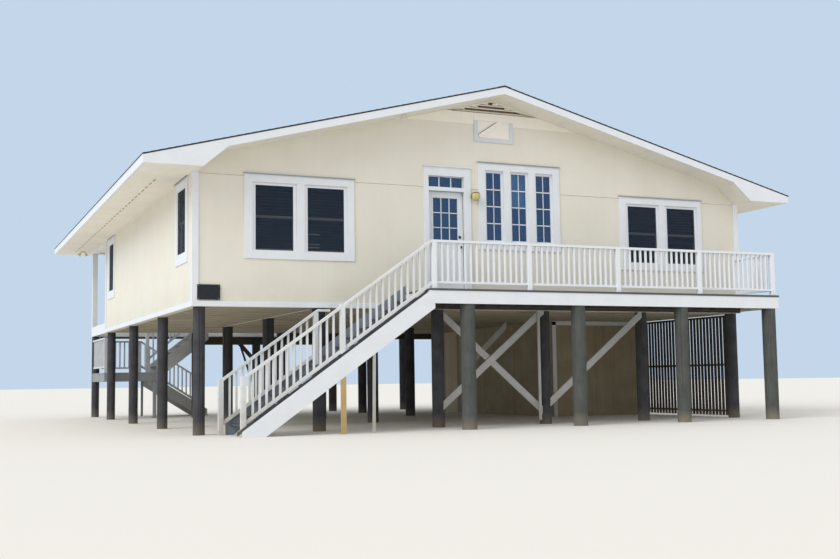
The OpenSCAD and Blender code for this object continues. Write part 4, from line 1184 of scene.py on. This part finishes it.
@dataclass
class Gable:
    """The front gable's frieze board, hatch brace, vent screen and the level flashing."""

    frieze_half: tuple[float, float] = (1.995, 1.074)
    frieze_z0: float = 3.752
    frieze_z1: float = 3.992
    frieze_t: float = 0.012
    hatch_x: float = 5.670
    hatch_z: float = 3.400
    hatch_w: float = 0.890
    hatch_h: float = 0.525
    hatch_rim: float = 0.090
    brace_ends: tuple[tuple[float, float], ...] = ((0.112, 0.110), (0.680, 0.483))
    brace_y: float = -0.0225
    brace_size: tuple[float, float] = (0.078, 0.026)
    shadow_share: float = 0.7
    shadow_off: float = 0.043
    shadow_size: tuple[float, float] = (0.008, 0.020)
    panel_ys: tuple[float, float] = (-0.0092, -0.008)
    rail_ys: tuple[float, float] = (-0.0240, -0.022)
    vent_half: float = 1.030
    vent_z: float = 3.990
    vent_top: float = 4.256
    vent_y: float = 0.104
    screen_t: float = 0.004
    joint_z: float = 2.422
    flashing: tuple[float, float] = (0.007, 0.008)
    shadow_gap: tuple[float, float] = (0.0015, 0.006)
    joint_runs: tuple[tuple[float, float], ...] = (
        (0.10, 0.938), (3.086, 4.544), (5.570, 5.742), (7.622, 9.095), (11.215, 12.092),
    )
    stops: tuple[tuple[float, float, float], ...] = (
        (5.957, 4.200, 0.124), (6.178, 4.200, 0.133), (5.715, 4.132, 0.139), (6.449, 4.128, 0.118),
        (5.422, 4.061, 0.128),
    )
    stop_ys: tuple[float, float] = (0.013, 0.018)
    stop_half: float = 0.015
    side_shadow: tuple[float, float, float] = (0.006, 0.009, 0.003)
    side_shadows: tuple[tuple[float, float, float, float], ...] = (
        (5.105, 4.003, 5.430, 4.048), (7.095, 4.003, 6.780, 4.052),
    )

    def build(self) -> None:
        """Builds the gable's trim."""
        self._frieze()
        self._hatch()
        self._vent()
        # The dark strips under the flashing are partly the sheets' joint and partly painted shadow of the flashing.
        flashing, gap = Shape(), Shape()
        (out, tall), (depth, drop) = self.flashing, self.shadow_gap
        for x0, x1 in self.joint_runs:
            flashing.box((x0, -out, self.joint_z), (x1, 0, self.joint_z + tall))
            gap.box((x0, -depth, self.joint_z - drop), (x1, 0, self.joint_z))
        flashing.finish("joint_flashing", BOUNCE_LIT_CREAM, 0.8)
        gap.finish("joint_gap_and_shadow", LOUVRE_SCREEN)
        dress(BOUNCE_LIT_CREAM, "gable_vent")
        ease(FADED_TRIM, 1.5, "gable_hatch")

    def _vent(self) -> None:
        """Builds the vent's screen, the blocks that shorten its slits and the thin dark lines beside the lowest,
        which are painted shadow under the soffit's edge.
        """
        screen, blocks, shadow_lines = Shape(), Shape(), Shape()
        middle = WIDTH / 2
        feet = [(middle - self.vent_half, self.vent_z), (middle + self.vent_half, self.vent_z)]
        screen.slab(feet + [(middle, self.vent_top)], self.vent_y, self.screen_t)
        screen.finish("vent_screen", LOUVRE_SCREEN)
        (y0, y1), half = self.stop_ys, self.stop_half
        for x, z, width in self.stops:
            blocks.box((x - width / 2, y0, z - half), (x + width / 2, y1, z + half))
        blocks.finish("vent_end_blocks", BOUNCE_LIT_CREAM, 0.6)
        # The thin dark lines beside the lowest slit are painted shadow.
        y, width, depth = self.side_shadow
        for x0, z0, x1, z1 in self.side_shadows:
            shadow_lines.bar((x0, y, z0), (x1, y, z1), width, depth)
        shadow_lines.finish("vent_side_shadows", LOUVRE_SCREEN)

    def _frieze(self) -> None:
        """Builds the frieze under the vent, cut to the roof at its ends and round the hatch."""
        frieze = Shape()
        middle, right = WIDTH / 2, self.hatch_x + self.hatch_w
        low, high = self.frieze_half
        z0, z1 = self.frieze_z0, self.frieze_z1
        for inner, side in ((self.hatch_x, -1), (right, 1)):
            outline = [(middle + side * low, z0), (inner, z0), (inner, z1), (middle + side * high, z1)]
            frieze.slab(outline, -self.frieze_t, self.frieze_t)
        frieze.box((self.hatch_x, -self.frieze_t, self.hatch_z + self.hatch_h), (right, 0, z1))
        frieze.finish("gable_frieze", BOUNCE_LIT_FRIEZE, 2.0)

    def _hatch(self) -> None:
        """Builds the hatch's panel, cream top rail and leaning board with the dark line beside it, which is painted
        shadow of the board.
        """
        rim, right, top = self.hatch_rim, self.hatch_x + self.hatch_w, self.hatch_z + self.hatch_h
        panel, brace, shadow_gap = Shape(), Shape(), Shape()
        y0, y1 = self.panel_ys
        panel.box((self.hatch_x + rim, y0, self.hatch_z + rim), (right - rim, y1, top - rim))
        y0, y1 = self.rail_ys
        panel.box((self.hatch_x, y0, top - rim), (right, y1, top))
        panel.finish("hatch_panel", BOUNCE_LIT_FRIEZE, 0.6)
        low, high = (Vector((self.hatch_x + x, self.brace_y, self.hatch_z + z)) for x, z in self.brace_ends)
        brace.bar(low, high, *self.brace_size)
        brace.finish("hatch_brace", BOUNCE_LIT_FRIEZE, 1.5)
        # The dark line along the leaning board is painted shadow.
        across = (high - low).normalized().cross(Vector((0, -1, 0))) * self.shadow_off
        shadow_gap.bar(low - across, low.lerp(high, self.shadow_share) - across, *self.shadow_size)
        shadow_gap.finish("hatch_brace_shadow", GREY_POST)


@dataclass
class Decks:
    """Boards of the front deck and the rear porch, with rails and frames."""

    deck_x0: float = 4.110
    deck_x1: float = 12.204
    deck_y0: float = -1.261
    deck_y1: float = -0.022
    porch_x0: float = 2.810
    porch_y0: float = 10.780
    porch_y1: float = 13.582
    top: float = 0.305
    board_t: float = 0.038
    board_pitch: float = 0.1465
    board_gap: float = 0.006
    shortest: float = 0.45
    least_rest: float = 0.4
    wear: float = 0.0012
    butt: float = 0.002
    screw: tuple[float, float, float] = (0.003, 0.0001, 0.0045)
    screw_ends: tuple[float, float] = (0.030, 0.020)
    screw_play: float = 0.004
    post_w: float = 0.140
    post_y: float = 13.430
    post_gap: float = 0.002
    post_xs: tuple[float, ...] = (3.046, 6.026, 9.106, 12.052)
    house_x1: float = 12.192
    rim_y0: float = -1.249
    rim_z0: float = 0.027
    ledger_z0: float = 0.003
    joist_up: float = 0.040
    joist_gaps: int = 20
    joist_pitch: float = 0.4022

    def build(self) -> None:
        """Builds the boards and dresses the frames and rails."""
        chance = random.Random(23)
        deck, porch, screws = Shape(), Shape(), Shape()
        low, x1, gap = self.top - self.board_t, self.deck_x1, self.post_gap
        fields = (
            (self.deck_x0, self.deck_y0, self.deck_y1), (self.porch_x0, self.porch_y0, self.post_y - 2 * gap),
        )
        self._boards(deck, *fields[0], 3.6, chance)
        deck.finish("deck_boards", DECK_BOARD, 3.0, ["deck_floor"])
        self._boards(porch, *fields[1], 4.2, chance)
        starts = [self.porch_x0] + [x + self.post_w + gap for x in self.post_xs]
        ends = [x - gap for x in self.post_xs] + [x1]
        for start, end in zip(starts, ends):
            porch.box((start, self.post_y + gap, low), (end, self.porch_y1, self.top))
        porch.finish("porch_boards", DECK_BOARD, 3.0, ["porch_floor"])
        for x0, y0, y1 in fields:
            self._screws(screws, x0, y0, y1, chance)
        screws.finish("deck_screws", METAL)
        self._frame(low)
        ease(TRIM, 2.5, "porch_frame", "porch_beams", "porch_posts")
        ease(TRIM, 3.0, "deck_rails", "porch_rails")
        dress(BOUNCE_LIT_CREAM, "porch_ceiling")

    def _boards(self, shape: Shape, x0: float, y0: float, y1: float, longest: float,
                chance: random.Random) -> None:
        """Adds rows of boards that run along x, with staggered butt joints.

        Args:
            shape: the shape that takes the boards.
            x0: the floor's left edge.
            y0: its near edge.
            y1: its far edge.
            longest: the longest board.
            chance: the source of the joints' places.
        """
        rows = max(1, round((y1 - y0) / self.board_pitch))
        step = (y1 - y0) / rows
        for row in range(rows):
            near = y0 + row * step + (self.board_gap / 2 if row else 0)
            far = y0 + (row + 1) * step - (self.board_gap / 2 if row < rows - 1 else 0)
            x = x0
            while x < self.deck_x1 - 0.01:
                end = min(self.deck_x1, x + longest * chance.uniform(self.shortest, 1.0))
                if self.deck_x1 - end < self.least_rest:
                    end = self.deck_x1
                drop = chance.uniform(0, self.wear)
                butt = self.butt if end < self.deck_x1 else 0
                shape.box((x, near, self.top - self.board_t), (end - butt, far, self.top - drop))
                x = end

    def _frame(self, top: float) -> None:
        """Builds the deck's painted rims and its bare joists and ledger, all up to top."""
        rims, joists = Shape(), Shape()
        t, back = self.board_t, self.deck_y1
        rims.box((self.deck_x0, self.rim_y0, self.rim_z0), (self.house_x1, self.rim_y0 + t, top))
        joists.box((self.deck_x0 + t, back - t, self.ledger_z0), (self.house_x1 - t, back, top))
        for i in range(self.joist_gaps + 1):
            x = self.deck_x0 + i * (self.house_x1 - t - self.deck_x0) / self.joist_gaps
            inner = 0 < i < self.joist_gaps
            shape, z, end = (joists, self.rim_z0 + self.joist_up, back - t) if inner else (rims, self.rim_z0, back)
            shape.box((x, self.rim_y0 + t, z), (x + t, end, top))
        rims.finish("deck_rim_boards", TRIM, 2.5, ["deck_frame"])
        joists.finish("deck_joists", DARK_TIMBER, 2.0, ["deck_frame"])

    def _screws(self, shape: Shape, x0: float, y0: float, y1: float, chance: random.Random) -> None:
        """Adds the screw heads over each joist.

        Args:
            shape: the shape that takes them.
            x0: the floor's left edge.
            y0: its near edge.
            y1: its far edge.
            chance: the source of their small unevenness.
        """
        rows = round((y1 - y0) / self.board_pitch)
        pitch, play = (y1 - y0) / rows, self.screw_play
        deep, shallow, radius = self.screw
        start, rest = self.screw_ends
        for row in range(rows):
            for side in (0.25, 0.75):
                x = x0 + start
                while x < self.deck_x1 - rest:
                    at = (x + chance.uniform(-play, play), y0 + (row + side) * pitch)
                    shape.rod((*at, self.top - deep), (*at, self.top - shallow), radius, None, 6)
                    x += self.joist_pitch


@dataclass
class Stairs:
    """Two-board treads of the front stair, its props, and the stringers and rails of both stairs."""

    deck_x: float = 4.110
    top: float = 0.305
    run: float = 0.245
    slope: float = 0.70065
    steps: int = 15
    near_y: float = -1.211
    far_y: float = -0.060
    board_t: float = 0.038
    nosing: float = 0.014
    tread_gap: float = 0.016
    middle_gap: float = 0.008
    stringer_drop: float = 0.425
    stringer_y: float = -1.249
    stringer_t: float = 0.038
    carriage: tuple[float, float] = (0.500, 4.060)
    carriage_drop: float = 0.060
    carriage_h: float = 0.070
    carriage_t: float = 0.005
    plank_top: float = 0.261
    plank_h: float = 0.380
    plank_x: float = 0.588
    far_lift: float = 0.185
    tip: tuple[float, float, float] = (4.194, -0.062, 0.025)

    def line(self, x: float, drop: float) -> float:
        """Returns the height at x of a line that runs with the stair, so far under the deck at its head."""
        return self.top - drop - self.slope * (self.deck_x - x)

    def build(self) -> None:
        """Builds the treads and props and dresses the rest."""
        treads, carriage = Shape(), Shape()
        for i in range(1, self.steps):
            x0 = self.deck_x - i * self.run - self.nosing
            x1 = self.deck_x - (i - 1) * self.run - self.tread_gap
            top = self.top - i * self.slope * self.run
            middle, half = (x0 + x1) / 2, self.middle_gap / 2
            treads.box((x0, self.near_y, top - self.board_t), (middle - half, self.far_y, top))
            treads.box((middle + half, self.near_y, top - self.board_t), (x1, self.far_y, top))
        treads.finish("front_tread_boards", TREAD, 4.0, ["stair_treads"])
        self._prop("square_prop", 2.355, 0.095, 0.0, PALE_PINE)
        self._prop("thin_prop", 2.965, 0.050, 0.020, DRY_PLANK)
        ease(WORN_TRIM, 3.0, "stair_near_rail", "stair_far_rail")
        # The dark carriage edge is partly painted shade of the gap between the near rail and the plank.
        low = [(x, self.line(x, self.carriage_drop)) for x in self.carriage]
        high = [(x, z + self.carriage_h) for x, z in reversed(low)]
        carriage.slab(low + high, self.near_y - self.carriage_t, self.carriage_t)
        carriage.finish("carriage_edge_and_shade", DARK_PINE_AND_SHADE)
        self._plank("near_plank", self.stringer_y, 0.0, TRIM)
        # The far plank's mid grey is painted shade.
        self._plank("far_plank", self.far_y, self.far_lift, SHADED_PLANK_ENAMEL)
        # The rear stair's greyer enamel is partly painted shade.
        ease(DULL_SHADED_TRIM, 3.0, "rear_stair_rails", "rear_stringers")
        ease(SILVER_PINE, 3.0, "rear_treads", "landing")

    def _plank(self, name: str, y: float, lift: float, finish: Finish) -> None:
        """Builds a plank that carries the treads, cut level at the ground and plumb at the deck.

        Args:
            name: the piece's name.
            y: its near face.
            lift: how far it stands above the near plank.
            finish: its finish.
        """
        top = self.plank_top + lift
        under = top - self.plank_h
        shape = Shape()
        shape.slab([
            (self.plank_x, GROUND), (self.deck_x - (under - GROUND) / self.slope, GROUND), (self.deck_x, under),
            (self.deck_x, top), (self.plank_x, top - self.slope * (self.deck_x - self.plank_x)),
        ], y, self.stringer_t)
        if not lift:
            x, z0, z1 = self.tip
            shape.slab([(self.deck_x, under), (x, z0), (x, z1), (self.deck_x, z1)], y, self.stringer_t)
        shape.finish(name, finish, 2.5, ["stair_stringers"])

    def _prop(self, name: str, x: float, width: float, lean: float, finish: Finish) -> None:
        """Builds a timber that props the near stringer.

        Args:
            name: the piece's name.
            x: its left side at the top.
            width: its width.
            lean: how far its foot stands to the left of its top.
            finish: its finish.
        """
        shape = Shape()
        heads = [(a, self.line(a, self.stringer_drop)) for a in (x + width, x)]
        feet = [(x - lean, GROUND), (x + width - lean, GROUND)]
        shape.slab(feet + heads, self.stringer_y, self.stringer_t)
        shape.finish(name, finish, 2.0, ["stair_props"])


@dataclass
class Ground:
    """Round piles and posts with splits, floor seams, braces and the storage room's battens."""

    left_r: float = 0.109
    pile_r: float = 0.127
    post_r: float = 0.1425
    pile_xs: tuple[float, ...] = (0.155, 2.420, 4.827, 7.275, 9.670, 12.060)
    front_y: float = 0.172
    front_shift: float = 0.048
    inner_ys: tuple[float, ...] = (3.600, 7.200, 10.738)
    porch_y: float = 13.360
    corner: tuple[float, float] = (0.109, 13.461)
    post_xs: tuple[float, ...] = (4.920, 7.320, 9.770, 12.030)
    post_y: float = -1.1065
    post_top: float = 0.027
    storage_x: float = 9.500
    storage_y0: float = 3.600
    storage_y1: float = 10.598
    storage_top: float = -0.012
    storage_seams: tuple[float, ...] = (4.40, 5.60, 7.30, 8.95, 9.78)
    storage_sheet: float = 0.006
    strip_t: float = 0.012
    strip_w: float = 0.100
    batten_half: float = 0.020
    batten_t: float = 0.010
    end_seam: float = 10.72
    seam_xs: tuple[float, float] = (0.15, 12.04)
    seam_t: float = 0.007
    pale_batten: tuple[tuple[float, float, float], ...] = ((2.275, 0.35, -0.012), (2.325, 7.05, -0.007))
    seam_ys: tuple[float, ...] = (0.26, 0.88, 1.50, 2.12, 2.74, 3.36, 3.98, 5.20, 6.42, 7.64, 8.86, 10.08)
    sides: int = 60
    rings: int = 12
    splits: int = 4
    split_depth: float = 0.011
    split_lean: float = 0.05
    split_half: float = 0.6
    hollow: float = 0.0025

    def build(self) -> None:
        """Builds the timbers and dresses the rest of the ground level."""
        chance = random.Random(31)
        front, inner, porch, posts = Shape(), Shape(), Shape(), Shape()
        for i, x in enumerate(self.pile_xs):
            radius = self.pile_r if i else self.left_r
            shift = self.front_shift if i == 2 else 0.0
            self._timber(front, x + shift, self.front_y, radius, 0.0, chance)
            for y in self.inner_ys:
                if x < self.storage_x or y > self.storage_y1:
                    self._timber(inner, x, y, radius, 0.0, chance)
            if i > 1:
                self._timber(porch, x, self.porch_y, radius, 0.0, chance)
        self._timber(porch, *self.corner, self.left_r, 0.0, chance)
        for x in self.post_xs:
            self._timber(posts, x, self.post_y, self.post_r, self.post_top, chance)
        for shape, place in ((front, "front"), (inner, "inner"), (porch, "porch")):
            shape.finish(f"{place}_pile_timbers", PILE, stands_for=[f"{place}_piles"], smooth=True)
        posts.finish("deck_post_timbers", GREY_POST, stands_for=["deck_posts"], smooth=True)
        self._seams()
        self._storage()
        ease(DRY_PLANK, 2.5, "braces")
        ease(DARK_TIMBER, 2.5, "slat_screen", "rear_girder")
        dress(TAN_PANEL, "storage_end_walls", "storage_side_walls")
        dress(UNDERSIDE, "house_floor")

    def _timber(self, shape: Shape, x: float, y: float, radius: float, top: float,
                chance: random.Random) -> None:
        """Adds one round timber, slightly uneven and split along its grain.

        Args:
            shape: the shape that takes it.
            x: its middle along the front.
            y: its middle in depth.
            radius: its largest radius.
            top: its upper end.
            chance: the source of its splits.
        """
        made = bmesh.new()
        height = top - GROUND
        bmesh.ops.create_cone(
            made, cap_ends=True, segments=self.sides, radius1=radius, radius2=radius, depth=height,
        )
        upright = [e for e in made.edges if abs(e.verts[0].co.z - e.verts[1].co.z) > height / 2]
        bmesh.ops.subdivide_edges(made, edges=upright, cuts=self.rings, use_grid_fill=True)
        turn = 2 * math.pi
        splits = [
            (chance.uniform(-math.pi, math.pi), chance.uniform(0.2, 0.9), chance.uniform(-1, 1))
            for _ in range(self.splits)
        ]
        shift = Vector((x * 3, y * 3, 0))
        for vert in made.verts:
            angle = math.atan2(vert.co.y, vert.co.x)
            share = vert.co.z / height + 0.5
            around = Vector((math.cos(angle), math.sin(angle), share * 1.6))
            inward = self.hollow * (1 + noise.noise(around * 1.3 + shift))
            for start, length, lean in splits:
                off = (angle - start - self.split_lean * lean * share + math.pi) % turn - math.pi
                if abs(off) < self.split_half * turn / self.sides and share > 1 - length:
                    inward += self.split_depth
            vert.co.x *= 1 - inward / radius
            vert.co.y *= 1 - inward / radius
        bmesh.ops.translate(made, verts=made.verts, vec=(x, y, (top + GROUND) / 2))
        shape.take(made)

    def _seams(self) -> None:
        """Builds the battens over the joints of the floor's lower sheets."""
        across, along = Shape(), Shape()
        x0, x1 = self.seam_xs
        for y in self.seam_ys:
            across.box((x0, y - self.batten_half, -self.seam_t), (x1, y + self.batten_half, 0))
        across.finish("floor_seam_battens", UNDERSIDE, 1.0)
        along.box(*self.pale_batten)
        along.finish("pale_floor_batten", TRIM, 1.0)

    def _storage(self) -> None:
        """Builds the storage room's corner strips, battens and a paler sheet."""
        strips, patch, battens = Shape(), Shape(), Shape()
        y, x, top = self.storage_y0, self.storage_x, self.storage_top
        out, wide = self.strip_t, self.strip_w
        for x0 in (x - out, WIDTH - wide):
            strips.box((x0, y - out, GROUND), (x0 + wide, y, top))
        strips.box((x - out, y - out, -wide), (WIDTH, y, -0.002))
        strips.finish("storage_corner_strips", WORN_TRIM, 1.5)
        near, far = self.storage_seams[-2:]
        patch.box((x - self.storage_sheet, near, GROUND), (x, far, top))
        patch.finish("paler_storage_sheet", PALER_PANEL, 1.0)
        half, thick, middle = self.batten_half, self.batten_t, self.end_seam
        for seam in self.storage_seams:
            for face in (x - thick, WIDTH):
                battens.box((face, seam - half, GROUND), (face + thick, seam + half, top))
        for face, head in ((y - thick, -wide), (self.storage_y1, top)):
            battens.box((middle - half, face, GROUND), (middle + half, face + thick, head))
        battens.finish("storage_battens", TAN_PANEL, 1.0)


@dataclass
class Fittings:
    """The wall lamp, the floodlights' enamel, the bare sign's screws and the back door's joinery."""

    lamp_x: float = 5.640
    lamp_z: float = 2.178
    lamp_out: float = 0.105
    jar: tuple[tuple[float, float], ...] = (
        (0, 0), (0.044, 0.001), (0.066, 0.014), (0.080, 0.044), (0.086, 0.084), (0.084, 0.122), (0.070, 0.142),
        (0, 0.143),
    )
    lid: tuple[tuple[float, float], ...] = (
        (0, 0.140), (0.074, 0.140), (0.078, 0.146), (0.070, 0.156), (0.040, 0.168), (0.016, 0.175), (0, 0.178),
    )
    knob: tuple[tuple[float, float], ...] = (
        (0, 0), (0.032, 0), (0.032, 0.006), (0.012, 0.012), (0.011, 0.036), (0.026, 0.046), (0.024, 0.058),
        (0, 0.062),
    )
    wires: int = 6
    wire_out: float = 0.0870
    wire_zs: tuple[float, float] = (0.050, 0.142)
    wire_r: float = 0.0016
    rose: tuple[float, float, float, float] = (0.100, 0.016, 0.060, 0.052)
    arm: tuple[float, float, float, float] = (0.152, 0.010, 0.075, 0.010)
    screw_ys: tuple[float, float] = (-0.032, -0.0345)
    panel_xs: tuple[tuple[float, float], ...] = ((6.750, 7.080), (7.135, 7.465))
    panel_zs: tuple[tuple[float, float], ...] = ((0.46, 1.12), (1.24, 2.22))
    panel_t: float = 0.006
    field_inset: float = 0.040
    field_ys: tuple[float, float] = (0.005, 0.011)
    knob_at: tuple[float, float] = (7.500, 1.25)
    sign_screws: tuple[tuple[float, float], ...] = ((0.100, 0.145), (0.100, 0.368), (0.467, 0.145), (0.467, 0.368))

    def build(self) -> None:
        """Builds the small fittings."""
        jar, metal, screws = Shape(), Shape(), Shape()
        x, z = self.lamp_x, self.lamp_z
        foot = Vector((x, -self.lamp_out, z))
        jar.turned(self.jar, foot, 40)
        jar.finish("lamp_jar", LAMP_GLASS, smooth=True, stands_for=["wall_lamp"])
        metal.turned(self.lid, foot, 40)
        for i in range(self.wires):
            angle = 2 * math.pi / self.wires * i
            at = foot + Vector((math.cos(angle), math.sin(angle), 0)) * self.wire_out
            low, high = (at + Vector((0, 0, up)) for up in self.wire_zs)
            metal.rod(low, high, self.wire_r, None, 6)
        up, out, radius, tip = self.rose
        metal.rod((x, 0, z + up), (x, -out, z + up), radius, tip, 36)
        up, near, out, radius = self.arm
        metal.rod((x, -near, z + up), (x, -out, z + up), radius, radius, 16)
        metal.finish("lamp_mount", BRASS, smooth=True)
        y0, y1 = self.screw_ys
        for x, z in self.sign_screws:
            screws.rod((x, y0, z), (x, y1, z), 0.007, 0.005, 12)
        screws.finish("sign_screws", METAL, smooth=True)
        ease(BLACK_PLATE, 1.5, "sign_plate")
        dress(CAST_ENAMEL, "floodlights")
        self._back_door(DEPTH - 0.036)

    def _back_door(self, face: float) -> None:
        """Builds the back door's panels and knob on its outer face and dresses the leaf."""
        panels, knob, inset = Shape(), Shape(), self.field_inset
        near, far = (face + y for y in self.field_ys)
        for x0, x1 in self.panel_xs:
            for z0, z1 in self.panel_zs:
                panels.box((x0, face, z0), (x1, face + self.panel_t, z1))
                panels.box((x0 + inset, near, z0 + inset), (x1 - inset, far, z1 - inset))
        panels.finish("back_door_panels", TRIM, 2.0)
        x, z = self.knob_at
        knob.place = Matrix.Translation((x, face, z)) @ Matrix.Rotation(-math.pi / 2, 4, "X")
        knob.turned(self.knob, (0, 0, 0))
        knob.finish("back_door_knob", BRASS, smooth=True)
        ease(TRIM, 2.0, "rear_door")


@dataclass(frozen=True)
class Studio:
    """A plain pale floor and backdrop, soft light and the camera at the photograph's place."""

    camera: tuple[float, float, float] = (-4.289, -19.893, -1.369)
    yaw: float = 23.6958
    pitch: float = 5.1208
    roll: float = -0.8302
    focal_px: float = 1119.10
    image_px: float = 840
    sensor_mm: float = 36
    sight: float = 1000
    floor_r: float = 260
    floor_colour: str = "#E4E1DA"
    sky_colour: str = "#C4D7EA"
    world_strength: float = 0.83
    key_strength: float = 1.85
    key_from: tuple[float, float, float] = (-0.92, -0.36, 0.68)
    key_angle: float = 40.0

    def build(self) -> None:
        """Builds the camera, the floor and the lights."""
        self._camera()
        self._floor()
        self._world()
        lamp = bpy.data.lights.new("key", "SUN")
        lamp.energy = self.key_strength
        lamp.angle = math.radians(self.key_angle)
        show("key", lamp).rotation_euler = Vector(self.key_from).to_track_quat("Z", "Y").to_euler()
        bpy.context.scene.view_settings.view_transform = "Standard"

    def _camera(self) -> None:
        """Sets up the camera."""
        yaw, pitch, roll = (math.radians(a) for a in (self.yaw, self.pitch, self.roll))
        ahead = Vector((math.sin(yaw) * math.cos(pitch), math.cos(yaw) * math.cos(pitch), math.sin(pitch)))
        level = Vector((math.cos(yaw), -math.sin(yaw), 0))
        above = level.cross(ahead)
        right = math.cos(roll) * level + math.sin(roll) * above
        up = -math.sin(roll) * level + math.cos(roll) * above
        data = bpy.data.cameras.new("camera")
        data.sensor_width = self.sensor_mm
        data.lens = self.focal_px * self.sensor_mm / self.image_px
        data.clip_end = self.sight
        camera = show("camera", data)
        turn = Matrix((right, up, -ahead)).transposed().to_4x4()
        camera.matrix_world = Matrix.Translation(Vector(self.camera) + CORNER) @ turn
        bpy.context.scene.camera = camera

    def _floor(self) -> None:
        """Makes the floor, a wide pale disc at the piles' feet."""
        disc = bmesh.new()
        bmesh.ops.create_circle(disc, cap_ends=True, segments=96, radius=self.floor_r)
        mesh = bpy.data.meshes.new("floor")
        disc.to_mesh(mesh)
        disc.free()
        floor = show("floor", mesh)
        mesh.materials.append(Graph("studio_floor").close(Base_Color=linear(self.floor_colour), Roughness=0.95))

    def _world(self) -> None:
        """Makes the world: neutral light, and a pale sky where the camera or a reflection looks."""
        world = bpy.data.worlds.new("studio")
        bpy.context.scene.world = world
        world.use_nodes = True
        tree = world.node_tree
        light = tree.nodes["Background"]
        light.inputs["Color"].default_value = linear("#FFFFFF")
        light.inputs["Strength"].default_value = self.world_strength
        sky = add_node(tree, "Background", {"Color": linear(self.sky_colour), "Strength": 1.0})
        path = add_node(tree, "LightPath", {}).outputs
        seen = path["Is Camera Ray"]
        for name in ("Is Glossy Ray", "Is Transmission Ray"):
            seen = add_node(tree, "Math", {"operation": "MAXIMUM", 0: seen, 1: path[name]}).outputs[0]
        mixed = add_node(tree, "MixShader", {0: seen, 1: light.outputs[0], 2: sky.outputs[0]})
        tree.links.new(mixed.outputs[0], tree.nodes["World Output"].inputs["Surface"])


@dataclass
class Body:
    """Finishes of the walls, corner boards and window frames that show as they are built."""

    def build(self) -> None:
        """Dresses the house body."""
        dress(SIDING, "front_wall_left", "front_wall_right", "front_gable", "back_wall", "rear_gable")
        dress(SIDE_SIDING, "left_wall", "right_wall")
        ease(TRIM, 2.0, "bottom_trim", "corner_boards")
        ease(TRIM, 1.6, "front_windows", "side_windows", "rear_windows")
        dress(WINDOW_GLASS, "window_glass")


def main() -> None:
    """Builds every sub-assembly and the studio."""
    logging.basicConfig(level=logging.INFO, format="%(name)s %(message)s")
    for part in (Body(), Windows(), FrontDoor(), Roof(), Gable(), Decks(), Stairs(), Ground(), Fittings(), Studio()):
        LOG.info("building %s", type(part).__name__)
        part.build()
    bpy.context.view_layer.update()


if __name__ == "__main__":
    main()
